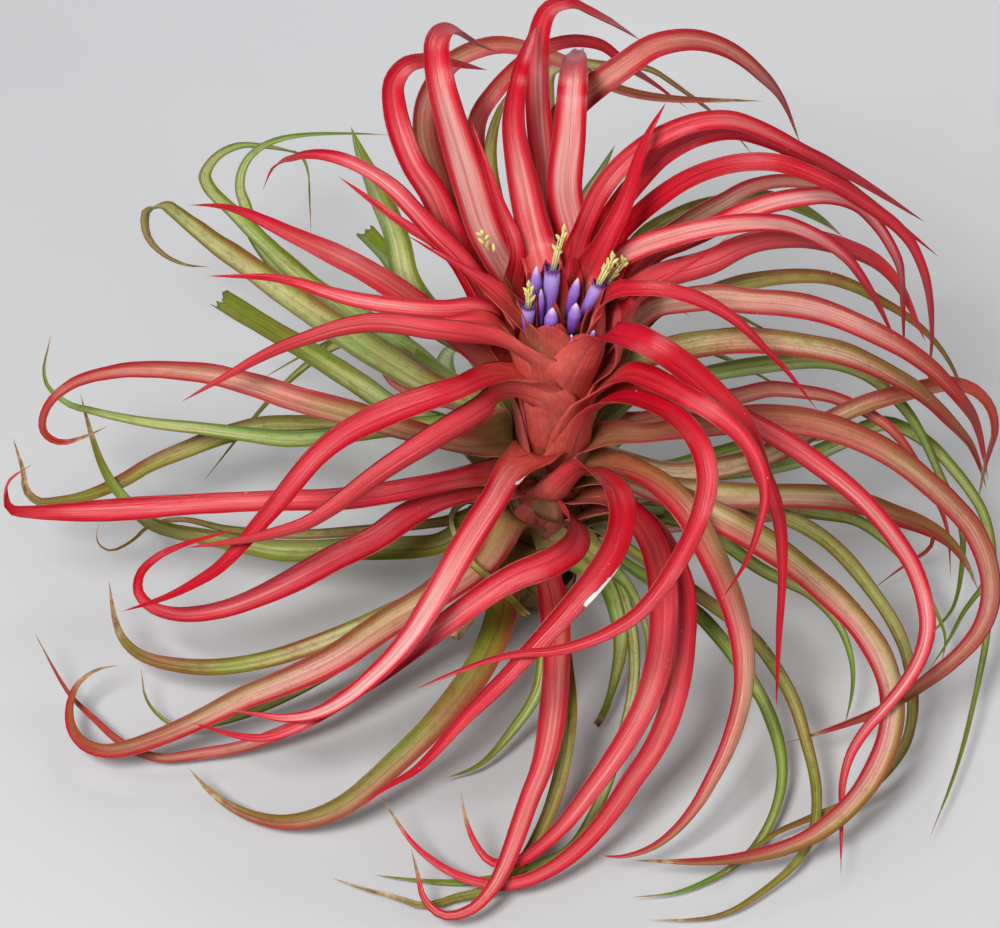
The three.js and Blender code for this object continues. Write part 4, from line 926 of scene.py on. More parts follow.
class BladeMesh:
    """Fine skin of one leaf: a curved channel that is broad and clasping at its base.

    The corners of each ring run along the upper side from one margin to the other, and back along
    the lower side. STEP is the length between two rings, and the sheath goes down from the root by
    SHEATH_LENGTH. NARROWING is where the blade has lost the sheath's width, and TURNING where it has
    left the sheath's direction. The sheath follows the blade's heading at HEADING by DRIFT degrees
    at most. CLASPING is the half width that bends right round the stem. SHEEN is how strong the
    painted sheen of light along the middle of the outer half is. No corner lies below FLOOR.
    """

    COLUMNS = 13
    STEP = 2.3
    RINGS = (36, 110)
    SHEATH_LENGTH = 20.0
    SHEATH_RINGS = 8
    NARROWING = 24.0
    HEADING = 9.0
    DRIFT = 26.0
    TURNING = 12.0
    FACING = (4, 22)
    CLASPING = 10.6
    OPENING = (2, 22)
    MARGIN_WAVES = (9, 30)
    CUT_LENGTH = 4
    SHEEN = 0.4
    FLOOR = 0.12

    def __init__(self, spine: Spine, dress: Dress) -> None:
        """Sets the blade's line, and the draws that make it differ from its neighbours."""
        self.spine, self.dress = spine, dress
        self.random = np.random.default_rng(seed_of(spine.name))

    def fine_line(self) -> tuple[Array, Array, Array, Array]:
        """The line with its sheath.

        Returns:
            The samples, the directions across, the half widths and the lengths from the root.
        """
        fine = self.spine.resampled(int(np.clip(self.spine.length() / self.STEP, *self.RINGS)))
        lengths = np.concatenate([[0], np.cumsum(np.linalg.norm(np.diff(fine.centres, axis=0), axis=1))])
        if self.dress.facing:
            square = unit(np.cross(tangents_of(fine.centres), VIEW_FORWARD))
            square = square * math.copysign(1, float(np.sum(square * fine.across)))
            turned = (self.dress.facing * smoothstep(lengths, *self.FACING))[:, None]
            fine.across = unit(fine.across + (square - fine.across) * turned)
        base = fine.centres[0]
        azimuth = azimuth_of(base)
        heading = azimuth_of(fine.centres[int(np.searchsorted(lengths[:-1], self.HEADING))])
        drift = float(np.clip((azimuth - heading + 540) % 360 - 180, -self.DRIFT, self.DRIFT))
        sheath, level = [], []
        rings = self.SHEATH_RINGS
        deep = min(self.SHEATH_LENGTH, base[2] - 0.8)
        for k in range(rings, 0, -1):
            down = k / rings
            turn = azimuth + drift * down
            if base[2] > NECK_HEIGHT:
                sheath.append(base - np.array([0, 0, down * deep]))
            else:
                sheath.append(beside_neck(turn, base[2] - down * deep, 0.9 - 2.4 * down))
            level.append(outward(turn + 90))
        centres = np.vstack([sheath, fine.centres])
        lengths = np.concatenate([-deep * np.arange(rings, 0, -1) / rings, lengths])
        level += [outward(azimuth + 90)] * len(fine.across)
        across = np.vstack([np.repeat(fine.across[:1], rings, axis=0), fine.across])
        across = across + (np.array(level) - across) * (1 - smoothstep(lengths, 0, self.TURNING))[:, None]
        halves = np.concatenate([np.repeat(fine.halves[:1], rings), fine.halves])
        flare = 1 - smoothstep(lengths, -self.SHEATH_LENGTH * 0.8, self.NARROWING)
        halves = halves + max(self.dress.sheath - fine.halves[0], 0) * flare
        halves = halves * (1 - self.dress.slim * smoothstep(lengths / lengths[-1], 0.4, 0.8))
        return centres, across, halves, lengths

    def channel(self, lengths: Array, halves: Array) -> Array:
        """How far the section bends to each side.

        Args:
            lengths: the length of each sample from the root.
            halves: half of the width at each.

        Returns:
            The angle at each sample, in radians.
        """
        share = np.clip(lengths / lengths[-1], 0, 1)
        clasping = np.clip(halves / self.CLASPING, 0, 1.2)
        wave = 0.12 * np.sin(share * 9 + self.random.uniform(0, 6))
        open_blade = 0.85 + 0.25 * smoothstep(share, 0.45, 1.0) + wave
        early = smoothstep(lengths, *self.OPENING)
        return clasping * (1 - early) + open_blade * early

    def ripple(self, lengths: Array, height: float, span: tuple[float, float]) -> Array:
        """Three slow seeded waves along the blade.

        Args:
            lengths: the length of each sample from the root.
            height: how high the waves are together.
            span: the shortest and the longest wave.

        Returns:
            The waves' sum at each sample.
        """
        total = np.zeros_like(lengths)
        for _ in range(3):
            wave = self.random.uniform(*span)
            total += np.sin(lengths / wave * 2 * math.pi + self.random.uniform(0, 6.3)) / 3
        return total * height

    def build(self) -> Skin:
        """Makes the skin.

        Returns:
            The corners, the faces, and what each corner knows: its root, state, place and grain.
        """
        centres, across, halves, lengths = self.fine_line()
        fine = Spine(self.spine.name, centres, across, halves)
        along, side, face = fine.faces()
        whole = lengths[-1]
        share = np.clip(lengths / whole, 0, 1)
        halves = halves * (1 + self.ripple(lengths, 0.05, (18, 60)))
        bend = self.channel(lengths, halves)
        twist = self.ripple(lengths, 0.16, (70, 160)) * smoothstep(lengths, 10, 60)
        side, face = (
            side * np.cos(twist)[:, None] + face * np.sin(twist)[:, None],
            face * np.cos(twist)[:, None] - side * np.sin(twist)[:, None],
        )
        upper = np.linspace(-1, 1, self.COLUMNS)
        lower = upper[-2:0:-1]
        columns = np.concatenate([upper, lower])
        is_upper = np.concatenate([np.ones(len(upper)), -np.ones(len(lower))])
        is_upper[[0, len(upper) - 1]] = 0
        free = smoothstep(lengths, 12, 40)
        left_edge = self.ripple(lengths, 0.22, self.MARGIN_WAVES) * free
        right_edge = self.ripple(lengths, 0.22, self.MARGIN_WAVES) * free
        angle = bend[:, None] * columns[None]
        radius = halves / np.maximum(np.sin(bend), 0.2)
        wide = radius[:, None] * np.sin(angle)
        deep = radius[:, None] * (1 - np.cos(angle))
        margin = np.abs(columns) ** 3
        waved = np.where(columns[None] < 0, left_edge[:, None], right_edge[:, None])
        deep = deep + waved * margin[None] * np.clip(halves / 3, 0, 1)[:, None]
        thick = (0.95 - 0.4 * share)[:, None] * (1 - 0.8 * np.abs(columns) ** 2.5)[None] * 0.5
        thick = thick * np.clip(halves / 1.2, 0.25, 1)[:, None]
        deep = deep + thick * is_upper[None]
        slip = np.zeros_like(wide)
        if self.dress.cut:
            ragged = self.random.uniform(-2.2, 0.4, len(upper))
            ends = np.interp(columns, upper, ragged)
            slip = smoothstep(lengths, whole - self.CUT_LENGTH, whole)[:, None] * ends[None]
        corners = (
            centres[:, None]
            + side[:, None] * wide[..., None]
            + face[:, None] * deep[..., None]
            + along[:, None] * slip[..., None]
        )
        corners[..., 2] = np.maximum(corners[..., 2], self.FLOOR)
        facts = self.facts(columns, is_upper, share, lengths, halves)
        return corners.reshape(-1, 3), tube_faces(*wide.shape), facts

    def facts(
        self, columns: Array, is_upper: Array, share: Array, lengths: Array, halves: Array
    ) -> dict[str, Array]:
        """What each corner of the skin knows, for its material.

        Args:
            columns: where each corner of a ring lies, from -1 at one margin to 1 at the other.
            is_upper: 1 for a corner of the upper side, -1 for one of the lower, 0 at the margins.
            share: the length of each ring from the root, as a share of the whole.
            lengths: the same in millimetres.
            halves: half of the blade's width at each ring.

        Returns:
            Three values for each corner under each label.
        """
        dress = self.dress
        rings, around = len(share), len(columns)
        edge = np.abs(columns)[None] * np.ones((rings, 1))
        under = np.where(is_upper < 0, 1.0, 0.0)[None] * np.ones((rings, 1))
        length = share[:, None] * np.ones((1, around))
        flush = dress.flush + dress.rim * edge**4 + dress.ripe * length
        flush = flush - 0.1 * (1 - smoothstep(length, 0, 0.16))
        flush = flush + self.ripple(lengths, 0.06, (25, 80))[:, None]
        flush = flush + dress.lean * columns[None] * smoothstep(length, 0.02, 0.2)
        # The channel paler towards its middle: partly its own colour, partly a painted highlight, halved
        # underneath
        faded = smoothstep(length, dress.fade - 0.3, dress.fade + 0.15)
        pale = dress.pale * smoothstep(length, -0.05, 0.12) * (1 - faded)
        pale = pale * (1 - smoothstep(edge, 0.4, 0.98))
        # A painted sheen of light along the middle of the outer half, halved underneath
        outer = smoothstep(length, 0.25, 0.5) * (1 - smoothstep(length, 0.72, 0.95))
        pale = (pale + self.SHEEN * outer * (1 - smoothstep(edge, 0.0, 0.6))) * (1 - 0.5 * under)
        dry = smoothstep(length, 1 - dress.dry * 1.6, 1 - dress.dry * 0.3) if dress.dry else 0 * length
        torn = np.zeros_like(edge)
        if self.spine.name in TORN_MARGINS:
            margin, start, stop = TORN_MARGINS[self.spine.name]
            inside = smoothstep(lengths, start - 2, start + 1)
            inside = inside * (1 - smoothstep(lengths, stop - 1, stop + 2))
            depth = 0.92 - 0.3 * smoothstep(lengths, start, stop)[:, None]
            torn = inside[:, None] * smoothstep(columns[None] * margin - depth, -0.12, 0.08)
        seed = (seed_of(self.spine.name) % 997) * 1.37
        across = columns[None] * halves[:, None]
        grain = np.stack([across, lengths[:, None] + 0 * across, seed + 0 * across], axis=2)
        stand = np.full_like(edge, self.spine.centres[0][2] / NECK_HEIGHT)
        return {
            "root": np.stack([stand, 0 * edge, 0 * edge], axis=2).reshape(-1, 3),
            "state": np.stack([flush, pale, dry], axis=2).reshape(-1, 3),
            "place": np.stack([edge, under, torn], axis=2).reshape(-1, 3),
            "grain": grain.reshape(-1, 3),
        }


def make_object(name: str, skin: Skin, finish: bpy.types.Material) -> bpy.types.Object:
    """Makes one smooth mesh object that rides with the plant, and reports it.

    Args:
        name: the piece's name.
        skin: its corners in millimetres, its faces, and three values for each corner's facts.
        finish: its material.

    Returns:
        The new object.
    """
    corners, faces, facts = skin
    mesh = bpy.data.meshes.new(name)
    mesh.from_pydata((corners * METRES).tolist(), [], faces)
    for label, values in facts.items():
        layer = mesh.attributes.new(label, "FLOAT_VECTOR", "POINT")
        layer.data.foreach_set("vector", values.astype(np.float32).ravel())
    mesh.shade_smooth()
    mesh.validate()
    piece = bpy.data.objects.new(name, mesh)
    bpy.context.scene.collection.objects.link(piece)
    mesh.materials.append(finish)
    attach(piece, "root")
    LOG.info("%s: %d faces", name, len(mesh.polygons))
    return piece


def joined_skin(parts: list[Skin]) -> Skin:
    """Several skins as one.

    Args:
        parts: the skins.

    Returns:
        One skin of them all.
    """
    corners, faces, facts, start = [], [], {}, 0
    for some_corners, some_faces, some_facts in parts:
        corners.append(some_corners)
        faces.extend(tuple(k + start for k in face) for face in some_faces)
        for label, values in some_facts.items():
            facts.setdefault(label, []).append(values)
        start += len(some_corners)
    return np.vstack(corners), faces, {label: np.vstack(values) for label, values in facts.items()}


class Value:
    """One output of a material's nodes, used as a value in expressions."""

    def __init__(self, shader: "Shader", socket: bpy.types.NodeSocket) -> None:
        """Wraps an output socket of the shader's nodes."""
        self.shader, self.socket = shader, socket

    def _math(self, operation: str, first: "Value | float", second: "Value | float") -> "Value":
        """Adds a Math node that works on two values."""
        return self.shader.node("ShaderNodeMath", {"operation": operation}, {0: first, 1: second})

    def __add__(self, other: "Value | float") -> "Value":
        """self + other"""
        return self._math("ADD", self, other)

    def __radd__(self, other: float) -> "Value":
        """other + self"""
        return self._math("ADD", other, self)

    def __sub__(self, other: "Value | float") -> "Value":
        """self - other"""
        return self._math("SUBTRACT", self, other)

    def __rsub__(self, other: float) -> "Value":
        """other - self"""
        return self._math("SUBTRACT", other, self)

    def __mul__(self, other: "Value | float") -> "Value":
        """self * other"""
        return self._math("MULTIPLY", self, other)

    def __rmul__(self, other: float) -> "Value":
        """other * self"""
        return self._math("MULTIPLY", other, self)

    def step(self, low: float, high: float) -> "Value":
        """A smooth rise of this value.

        Args:
            low: where it starts.
            high: where it ends.

        Returns:
            The share from 0 to 1.
        """
        settings = {"interpolation_type": "SMOOTHSTEP"}
        inputs = {0: self, 1: low, 2: high, 3: 0.0, 4: 1.0}
        return self.shader.node("ShaderNodeMapRange", settings, inputs)


@dataclass(frozen=True)
class Grain:
    """A noise that runs along a leaf or petal.

    Attributes:
        across: how fine it is across.
        along: how fine it is along.
        detail: how many finer layers it has.
        roughness: how strong those layers are.
    """

    across: float
    along: float
    detail: float
    roughness: float


class Shader:
    """Builds one material, node by node."""

    def __init__(self, name: str, specular: float) -> None:
        """Starts a material with one principled surface.

        Args:
            name: the material's name.
            specular: the strength of its mirror reflection.
        """
        self.material = bpy.data.materials.new(name)
        self.material.use_nodes = True
        self.tree = self.material.node_tree
        self.tree.nodes.clear()
        self.surface = self.tree.nodes.new("ShaderNodeBsdfPrincipled")
        output = self.tree.nodes.new("ShaderNodeOutputMaterial")
        self.tree.links.new(self.surface.outputs[0], output.inputs["Surface"])
        self.surface.inputs["Specular IOR Level"].default_value = specular

    def node(
        self, kind: str, settings: dict | None = None, inputs: dict | None = None, output: int | str = 0
    ) -> Value:
        """Adds a node.

        Args:
            kind: the node's type.
            settings: its own settings, and "stops" for a colour ramp.
            inputs: a value or a link for each socket that is set, by its number or name.
            output: the output that is given back.

        Returns:
            The chosen output.
        """
        made = self.tree.nodes.new(kind)
        for key, setting in (settings or {}).items():
            if key == "stops":
                ramp = made.color_ramp.elements
                while len(ramp) < len(setting):
                    ramp.new(0.5)
                for element, (place, colour) in zip(ramp, setting):
                    element.position = place
                    element.color = (*colour, 1.0)
            else:
                setattr(made, key, setting)
        for key, value in (inputs or {}).items():
            if isinstance(value, Value):
                self.tree.links.new(value.socket, made.inputs[key])
            elif isinstance(value, tuple) and len(value) == 3 and made.inputs[key].type == "RGBA":
                made.inputs[key].default_value = (*value, 1.0)
            else:
                made.inputs[key].default_value = value
        return Value(self, made.outputs[output])

    def fact(self, label: str) -> tuple[Value, Value, Value]:
        """The three values that the mesh's corners know under a label.

        Args:
            label: the label.

        Returns:
            The three values.
        """
        whole = self.node("ShaderNodeAttribute", {"attribute_name": label}, output="Vector")
        split = self.tree.nodes.new("ShaderNodeSeparateXYZ")
        self.tree.links.new(whole.socket, split.inputs[0])
        return tuple(Value(self, socket) for socket in split.outputs)

    def point(self, x: Value | float, y: Value | float, z: Value | float) -> Value:
        """A vector from three values."""
        return self.node("ShaderNodeCombineXYZ", None, {0: x, 1: y, 2: z})

    def noise(self, at: Value, scale: float, detail: float, roughness: float) -> Value:
        """Smooth noise from 0 to 1.

        Args:
            at: the point that it is read at.
            scale: how fine it is.
            detail: how many finer layers it has.
            roughness: how strong those layers are.

        Returns:
            The noise's value.
        """
        inputs = {"Vector": at, "Scale": scale, "Detail": detail, "Roughness": roughness}
        return self.node("ShaderNodeTexNoise", None, inputs)

    def grained(self, at: tuple[Value, Value, Value], grain: Grain) -> Value:
        """Noise stretched along a leaf or petal.

        Args:
            at: the distances across and along, and a seed.
            grain: how the noise runs.

        Returns:
            The noise's value.
        """
        across, along, seed = at
        point = self.point(across * grain.across, along * grain.along, seed)
        return self.noise(point, 1.0, grain.detail, grain.roughness)

    def ramp(self, value: Value, stops: tuple[tuple[float, Colour], ...]) -> Value:
        """A colour that changes with a value."""
        return self.node("ShaderNodeValToRGB", {"stops": stops}, {0: value})

    def mix(
        self, share: Value | float, first: Value | Colour, second: Value | Colour, blend: str = "MIX"
    ) -> Value:
        """One colour turned into another by a share.

        Args:
            share: how far the first colour turns into the second.
            first: the first colour.
            second: the second colour.
            blend: how they mix, as the Mix node calls it.

        Returns:
            The mixed colour.
        """
        settings = {"data_type": "RGBA", "blend_type": blend}
        return self.node("ShaderNodeMix", settings, {0: share, 6: first, 7: second}, 2)

    def shine(self, colour: Value, roughness: Value) -> None:
        """Joins the colour and the roughness to the surface."""
        self.tree.links.new(colour.socket, self.surface.inputs["Base Color"])
        self.tree.links.new(roughness.socket, self.surface.inputs["Roughness"])

    def relief(self, height: Value, depth: float, strength: float) -> None:
        """Joins a relief to the surface.

        Args:
            height: the relief's height.
            depth: how deep it is, in metres.
            strength: how strongly it shows.
        """
        inputs = {"Height": height, "Distance": depth, "Strength": strength}
        bump = self.node("ShaderNodeBump", None, inputs, "Normal")
        self.tree.links.new(bump.socket, self.surface.inputs["Normal"])


@dataclass(frozen=True)
class LeafFinish:
    """Skin of the leaves: its colours from green to crimson, veins, scales, mottling and dried ends.

    Attributes:
        name: the material's name.
        mottling: how far brown blotches cover it.
        frost: how strongly its grey scales lighten it.
        gloss: its mean roughness.
    """

    name: str
    mottling: float
    frost: float
    gloss: float

    FLUSHES = (
        (0.0, (0.12, 0.26, 0.012)), (0.2, (0.23, 0.24, 0.018)), (0.36, (0.26, 0.13, 0.02)),
        (0.54, (0.36, 0.06, 0.025)), (0.74, (0.5, 0.012, 0.022)), (0.9, (0.66, 0.002, 0.026)),
        (1.0, (0.56, 0.0, 0.014)),
    )
    PALES = (
        (0.0, (0.36, 0.52, 0.11)), (0.25, (0.48, 0.44, 0.13)), (0.5, (0.56, 0.25, 0.15)),
        (0.78, (0.78, 0.12, 0.12)), (1.0, (0.84, 0.06, 0.09)),
    )
    STRAWS = ((0.35, (0.16, 0.07, 0.03)), (0.55, (0.42, 0.26, 0.12)), (0.75, (0.62, 0.5, 0.32)))
    STREAKS = Grain(1.9, 0.035, 4.0, 0.6)
    VEINS = Grain(5.0, 0.02, 2.0, 0.5)
    PATCHES = Grain(0.16, 0.05, 3.0, 0.55)
    BLOTCHES = Grain(0.6, 0.3, 5.0, 0.7)
    FRECKLES = Grain(2.4, 1.3, 2.0, 0.6)
    SCALES = Grain(9.0, 7.0, 1.0, 0.5)
    SCARS = Grain(0.9, 0.3, 2.0, 0.7)
    SPECKS = Grain(2.2, 2.2, 0.0, 0.5)
    GREENISH_CREAM, ROSY_CREAM = (0.6, 0.62, 0.3), (0.84, 0.42, 0.38)
    BLOTCH_BROWN, FRECKLE_BROWN = (0.17, 0.06, 0.018), (0.24, 0.06, 0.02)
    VEIN_SHADE, MARGIN_SHADE, CREASE_SHADE = (0.46, 0.38, 0.38), (0.5, 0.42, 0.42), (0.5, 0.34, 0.34)
    RIM_ROSE = (0.8, 0.35, 0.25)
    LOW_BASE, HIGH_BASE, GREEN_BASE = (0.3, 0.11, 0.05), (0.56, 0.06, 0.035), (0.24, 0.17, 0.05)
    BASE_BLOTCH, BASE_STREAK, BASE_RIM = (0.6, 0.2, 0.14), (0.24, 0.06, 0.025), (0.62, 0.1, 0.07)
    FROST_GREY = (0.6, 0.4, 0.34)
    SCAR_WHITE, SPECK_WHITE = (0.86, 0.72, 0.64), (0.85, 0.65, 0.58)

    def material(self) -> bpy.types.Material:
        """Builds the finish.

        Returns:
            The material.
        """
        skin = Shader(self.name, 0.36)
        flush, pale, dry = skin.fact("state")
        edge, under, torn = skin.fact("place")
        grain = skin.fact("grain")
        length = grain[1]
        stand = skin.fact("root")[0]
        streaks = skin.grained(grain, self.STREAKS)
        veins = skin.grained(grain, self.VEINS)
        patches = skin.grained(grain, self.PATCHES)
        blotches = skin.grained(grain, self.BLOTCHES)
        freckles = skin.grained(grain, self.FRECKLES)
        scales = skin.grained(grain, self.SCALES)

        # Red or green, and pale in the channel: partly its own paler colour, partly a painted highlight
        redness = flush + (patches - 0.5) * 0.44 + (streaks - 0.5) * 0.26 + (freckles - 0.5) * 0.14
        body = skin.ramp(redness, self.FLUSHES)
        light = skin.ramp(redness, self.PALES)
        cream = skin.mix(flush.step(0.2, 0.6), self.GREENISH_CREAM, self.ROSY_CREAM)
        paled = pale * (0.35 + streaks * 1.25)
        colour = skin.mix(paled.step(0.25, 1.1), body, light)
        colour = skin.mix(paled.step(0.75, 1.6), colour, cream)

        # Mottling, on what isn't crimson
        unripe = 1.0 - flush.step(0.5, 0.9)
        blotched = blotches.step(0.62 - 0.16 * self.mottling, 0.72) * unripe * self.mottling
        colour = skin.mix(blotched * 0.5, colour, self.BLOTCH_BROWN)
        freckled = freckles.step(0.62, 0.7) * unripe * self.mottling
        colour = skin.mix(freckled * 0.4, colour, self.FRECKLE_BROWN)

        # Veins, painted shade towards the margins and in the crease along the middle, and a rose rim at
        # the margins
        colour = skin.mix(veins.step(0.4, 0.75) * 0.55, colour, self.VEIN_SHADE, "MULTIPLY")
        # Painted shade: the upper side darker towards its margins
        colour = skin.mix((edge * edge * 0.55) * (1.0 - under), colour, self.MARGIN_SHADE, "MULTIPLY")
        # Painted shade: a dark line in the crease along the middle, which also sinks the relief
        crease = (1.0 - edge.step(0.0, 0.16)) * streaks.step(0.3, 0.6)
        colour = skin.mix(crease * 0.4, colour, self.CREASE_SHADE, "MULTIPLY")
        colour = skin.mix(edge.step(0.93, 1.0) * 0.3, colour, self.RIM_ROSE)

        # The clasping base: brown low on the stem, brick red high on it
        rooted = 1.0 - (length + patches * 12.0).step(6.0, 27.0)
        ruddy = skin.mix(stand.step(0.25, 0.8), self.LOW_BASE, self.HIGH_BASE)
        base = skin.mix(flush.step(0.3, 0.9), self.GREEN_BASE, ruddy)
        base = skin.mix(blotches.step(0.42, 0.66) * 0.6, base, self.BASE_BLOTCH)
        base = skin.mix(streaks.step(0.45, 0.7) * 0.5, base, self.BASE_STREAK)
        colour = skin.mix(rooted * 0.62, colour, base)
        colour = skin.mix(rooted * edge.step(0.86, 1.0) * 0.5, colour, self.BASE_RIM)

        # Grey scales, dried ends, scars, torn margins and specks
        speckled = rooted * scales.step(0.52, 0.66) * 0.4
        frosted = (under * 0.6 + 0.03 + speckled) * (scales.step(0.35, 0.75) * 0.7 + 0.3) * self.frost
        colour = skin.mix(frosted, colour, self.FROST_GREY)
        straw = skin.ramp(blotches, self.STRAWS)
        dried = (dry + (blotches - 0.5) * 0.5 * dry.step(0.0, 0.3)).step(0.1, 0.7)
        colour = skin.mix(dried, colour, straw)
        scars = skin.grained(grain, self.SCARS).step(0.75, 0.775) * edge.step(0.35, 0.8) * 0.6
        tears = (torn + (blotches - 0.5) * torn).step(0.4, 0.6)
        colour = skin.mix((scars + tears).step(0.0, 1.0), colour, self.SCAR_WHITE)
        specks = skin.grained(grain, self.SPECKS)
        colour = skin.mix(specks.step(0.87, 0.89) * 0.5, colour, self.SPECK_WHITE)

        smooth = self.gloss - 0.07 + (scales - 0.5) * 0.16
        skin.shine(colour, smooth + dry * 0.3 + under * 0.14 + rooted * 0.16)
        skin.relief(streaks * 0.5 + veins * 0.5 + scales * 0.12 - crease * 0.6, 0.0004, 0.8)
        return skin.material


@dataclass(frozen=True)
class PetalFinish:
    """Petals: violet, paler to the mouth and dark purple at its rim, or pale at a bud's tip.

    Attributes:
        name: the material's name.
    """

    name: str = "petal_violet"

    OPENED = (
        (0.0, (0.14, 0.04, 0.34)), (0.4, (0.26, 0.12, 0.54)), (0.84, (0.46, 0.34, 0.74)),
        (0.93, (0.14, 0.03, 0.22)), (1.0, (0.05, 0.008, 0.1)),
    )
    CLOSED = (
        (0.0, (0.12, 0.03, 0.32)), (0.45, (0.24, 0.08, 0.52)), (0.85, (0.42, 0.24, 0.68)),
        (1.0, (0.85, 0.66, 0.78)),
    )
    VEINS = Grain(3.2, 0.1, 3.0, 0.6)
    VEIN_MAUVE, EDGE_MAUVE = (0.5, 0.38, 0.75), (0.45, 0.34, 0.74)

    def material(self) -> bpy.types.Material:
        """Builds the finish.

        Returns:
            The material.
        """
        skin = Shader(self.name, 0.4)
        edge, bud, along = skin.fact("place")
        veins = skin.grained(skin.fact("grain"), self.VEINS)
        opened = skin.ramp(along + (veins - 0.5) * 0.2, self.OPENED)
        closed = skin.ramp(along + (veins - 0.5) * 0.2, self.CLOSED)
        colour = skin.mix(bud, opened, closed)
        colour = skin.mix(veins.step(0.5, 0.75) * 0.35, colour, self.VEIN_MAUVE)
        colour = skin.mix(edge.step(0.8, 1.0) * 0.3, colour, self.EDGE_MAUVE)
        skin.shine(colour, 0.34 + veins * 0.18)
        skin.relief(veins, 0.0002, 0.5)
        return skin.material


@dataclass(frozen=True)
class PollenFinish:
    """Anthers, stigmas and filaments: pale yellow grains, or brown where they have withered.

    Attributes:
        name: the material's name.
    """

    name: str = "pollen_yellow"

    YELLOWS = ((0.3, (0.66, 0.5, 0.08)), (0.5, (0.88, 0.8, 0.26)), (0.7, (0.97, 0.94, 0.55)))
    FILAMENT_CREAM, WITHERED_BROWN = (0.8, 0.74, 0.55), (0.3, 0.08, 0.04)

    def material(self) -> bpy.types.Material:
        """Builds the finish.

        Returns:
            The material.
        """
        skin = Shader(self.name, 0.3)
        _, withered, along = skin.fact("place")
        grains = skin.noise(skin.point(*skin.fact("grain")), 5.0, 2.0, 0.7)
        colour = skin.ramp(grains, self.YELLOWS)
        colour = skin.mix((1.0 - along.step(0.1, 0.45)) * 0.5, colour, self.FILAMENT_CREAM)
        colour = skin.mix(withered, colour, self.WITHERED_BROWN)
        skin.shine(colour, 0.6 + grains * 0.25)
        skin.relief(grains, 0.0003, 0.8)
        return skin.material


@dataclass(frozen=True)
class FloorFinish:
    """A plain pale studio floor.

    Attributes:
        name: the material's name.
    """

    name: str = "studio_floor"

    GREYS = ((0.3, (0.52, 0.52, 0.53)), (0.7, (0.56, 0.56, 0.56)))

    def material(self) -> bpy.types.Material:
        """Builds the finish.

        Returns:
            The material.
        """
        paper = Shader(self.name, 0.2)
        at = paper.node("ShaderNodeTexCoord", output="Object")
        cloudy = paper.noise(at, 3.0, 4.0, 0.6)
        paper.shine(paper.ramp(cloudy, self.GREYS), 0.75 + cloudy * 0.1)
        return paper.material


class Finishes:
    """All materials of the plant, each made once."""

    def __init__(self) -> None:
        """Builds the materials."""
        self.leaves = {
            Tone.RED: LeafFinish("leaf_red", 0.3, 0.2, 0.36).material(),
            Tone.SALMON: LeafFinish("leaf_salmon", 0.7, 0.36, 0.4).material(),
            Tone.OLIVE: LeafFinish("leaf_olive", 1.0, 0.3, 0.42).material(),
            Tone.GREEN: LeafFinish("leaf_green", 0.8, 0.25, 0.42).material(),
        }
        self.sheath = LeafFinish("sheath_brown_red", 0.8, 0.4, 0.52).material()
        self.petal = PetalFinish().material()
        self.pollen = PollenFinish().material()
        self.floor = FloorFinish().material()


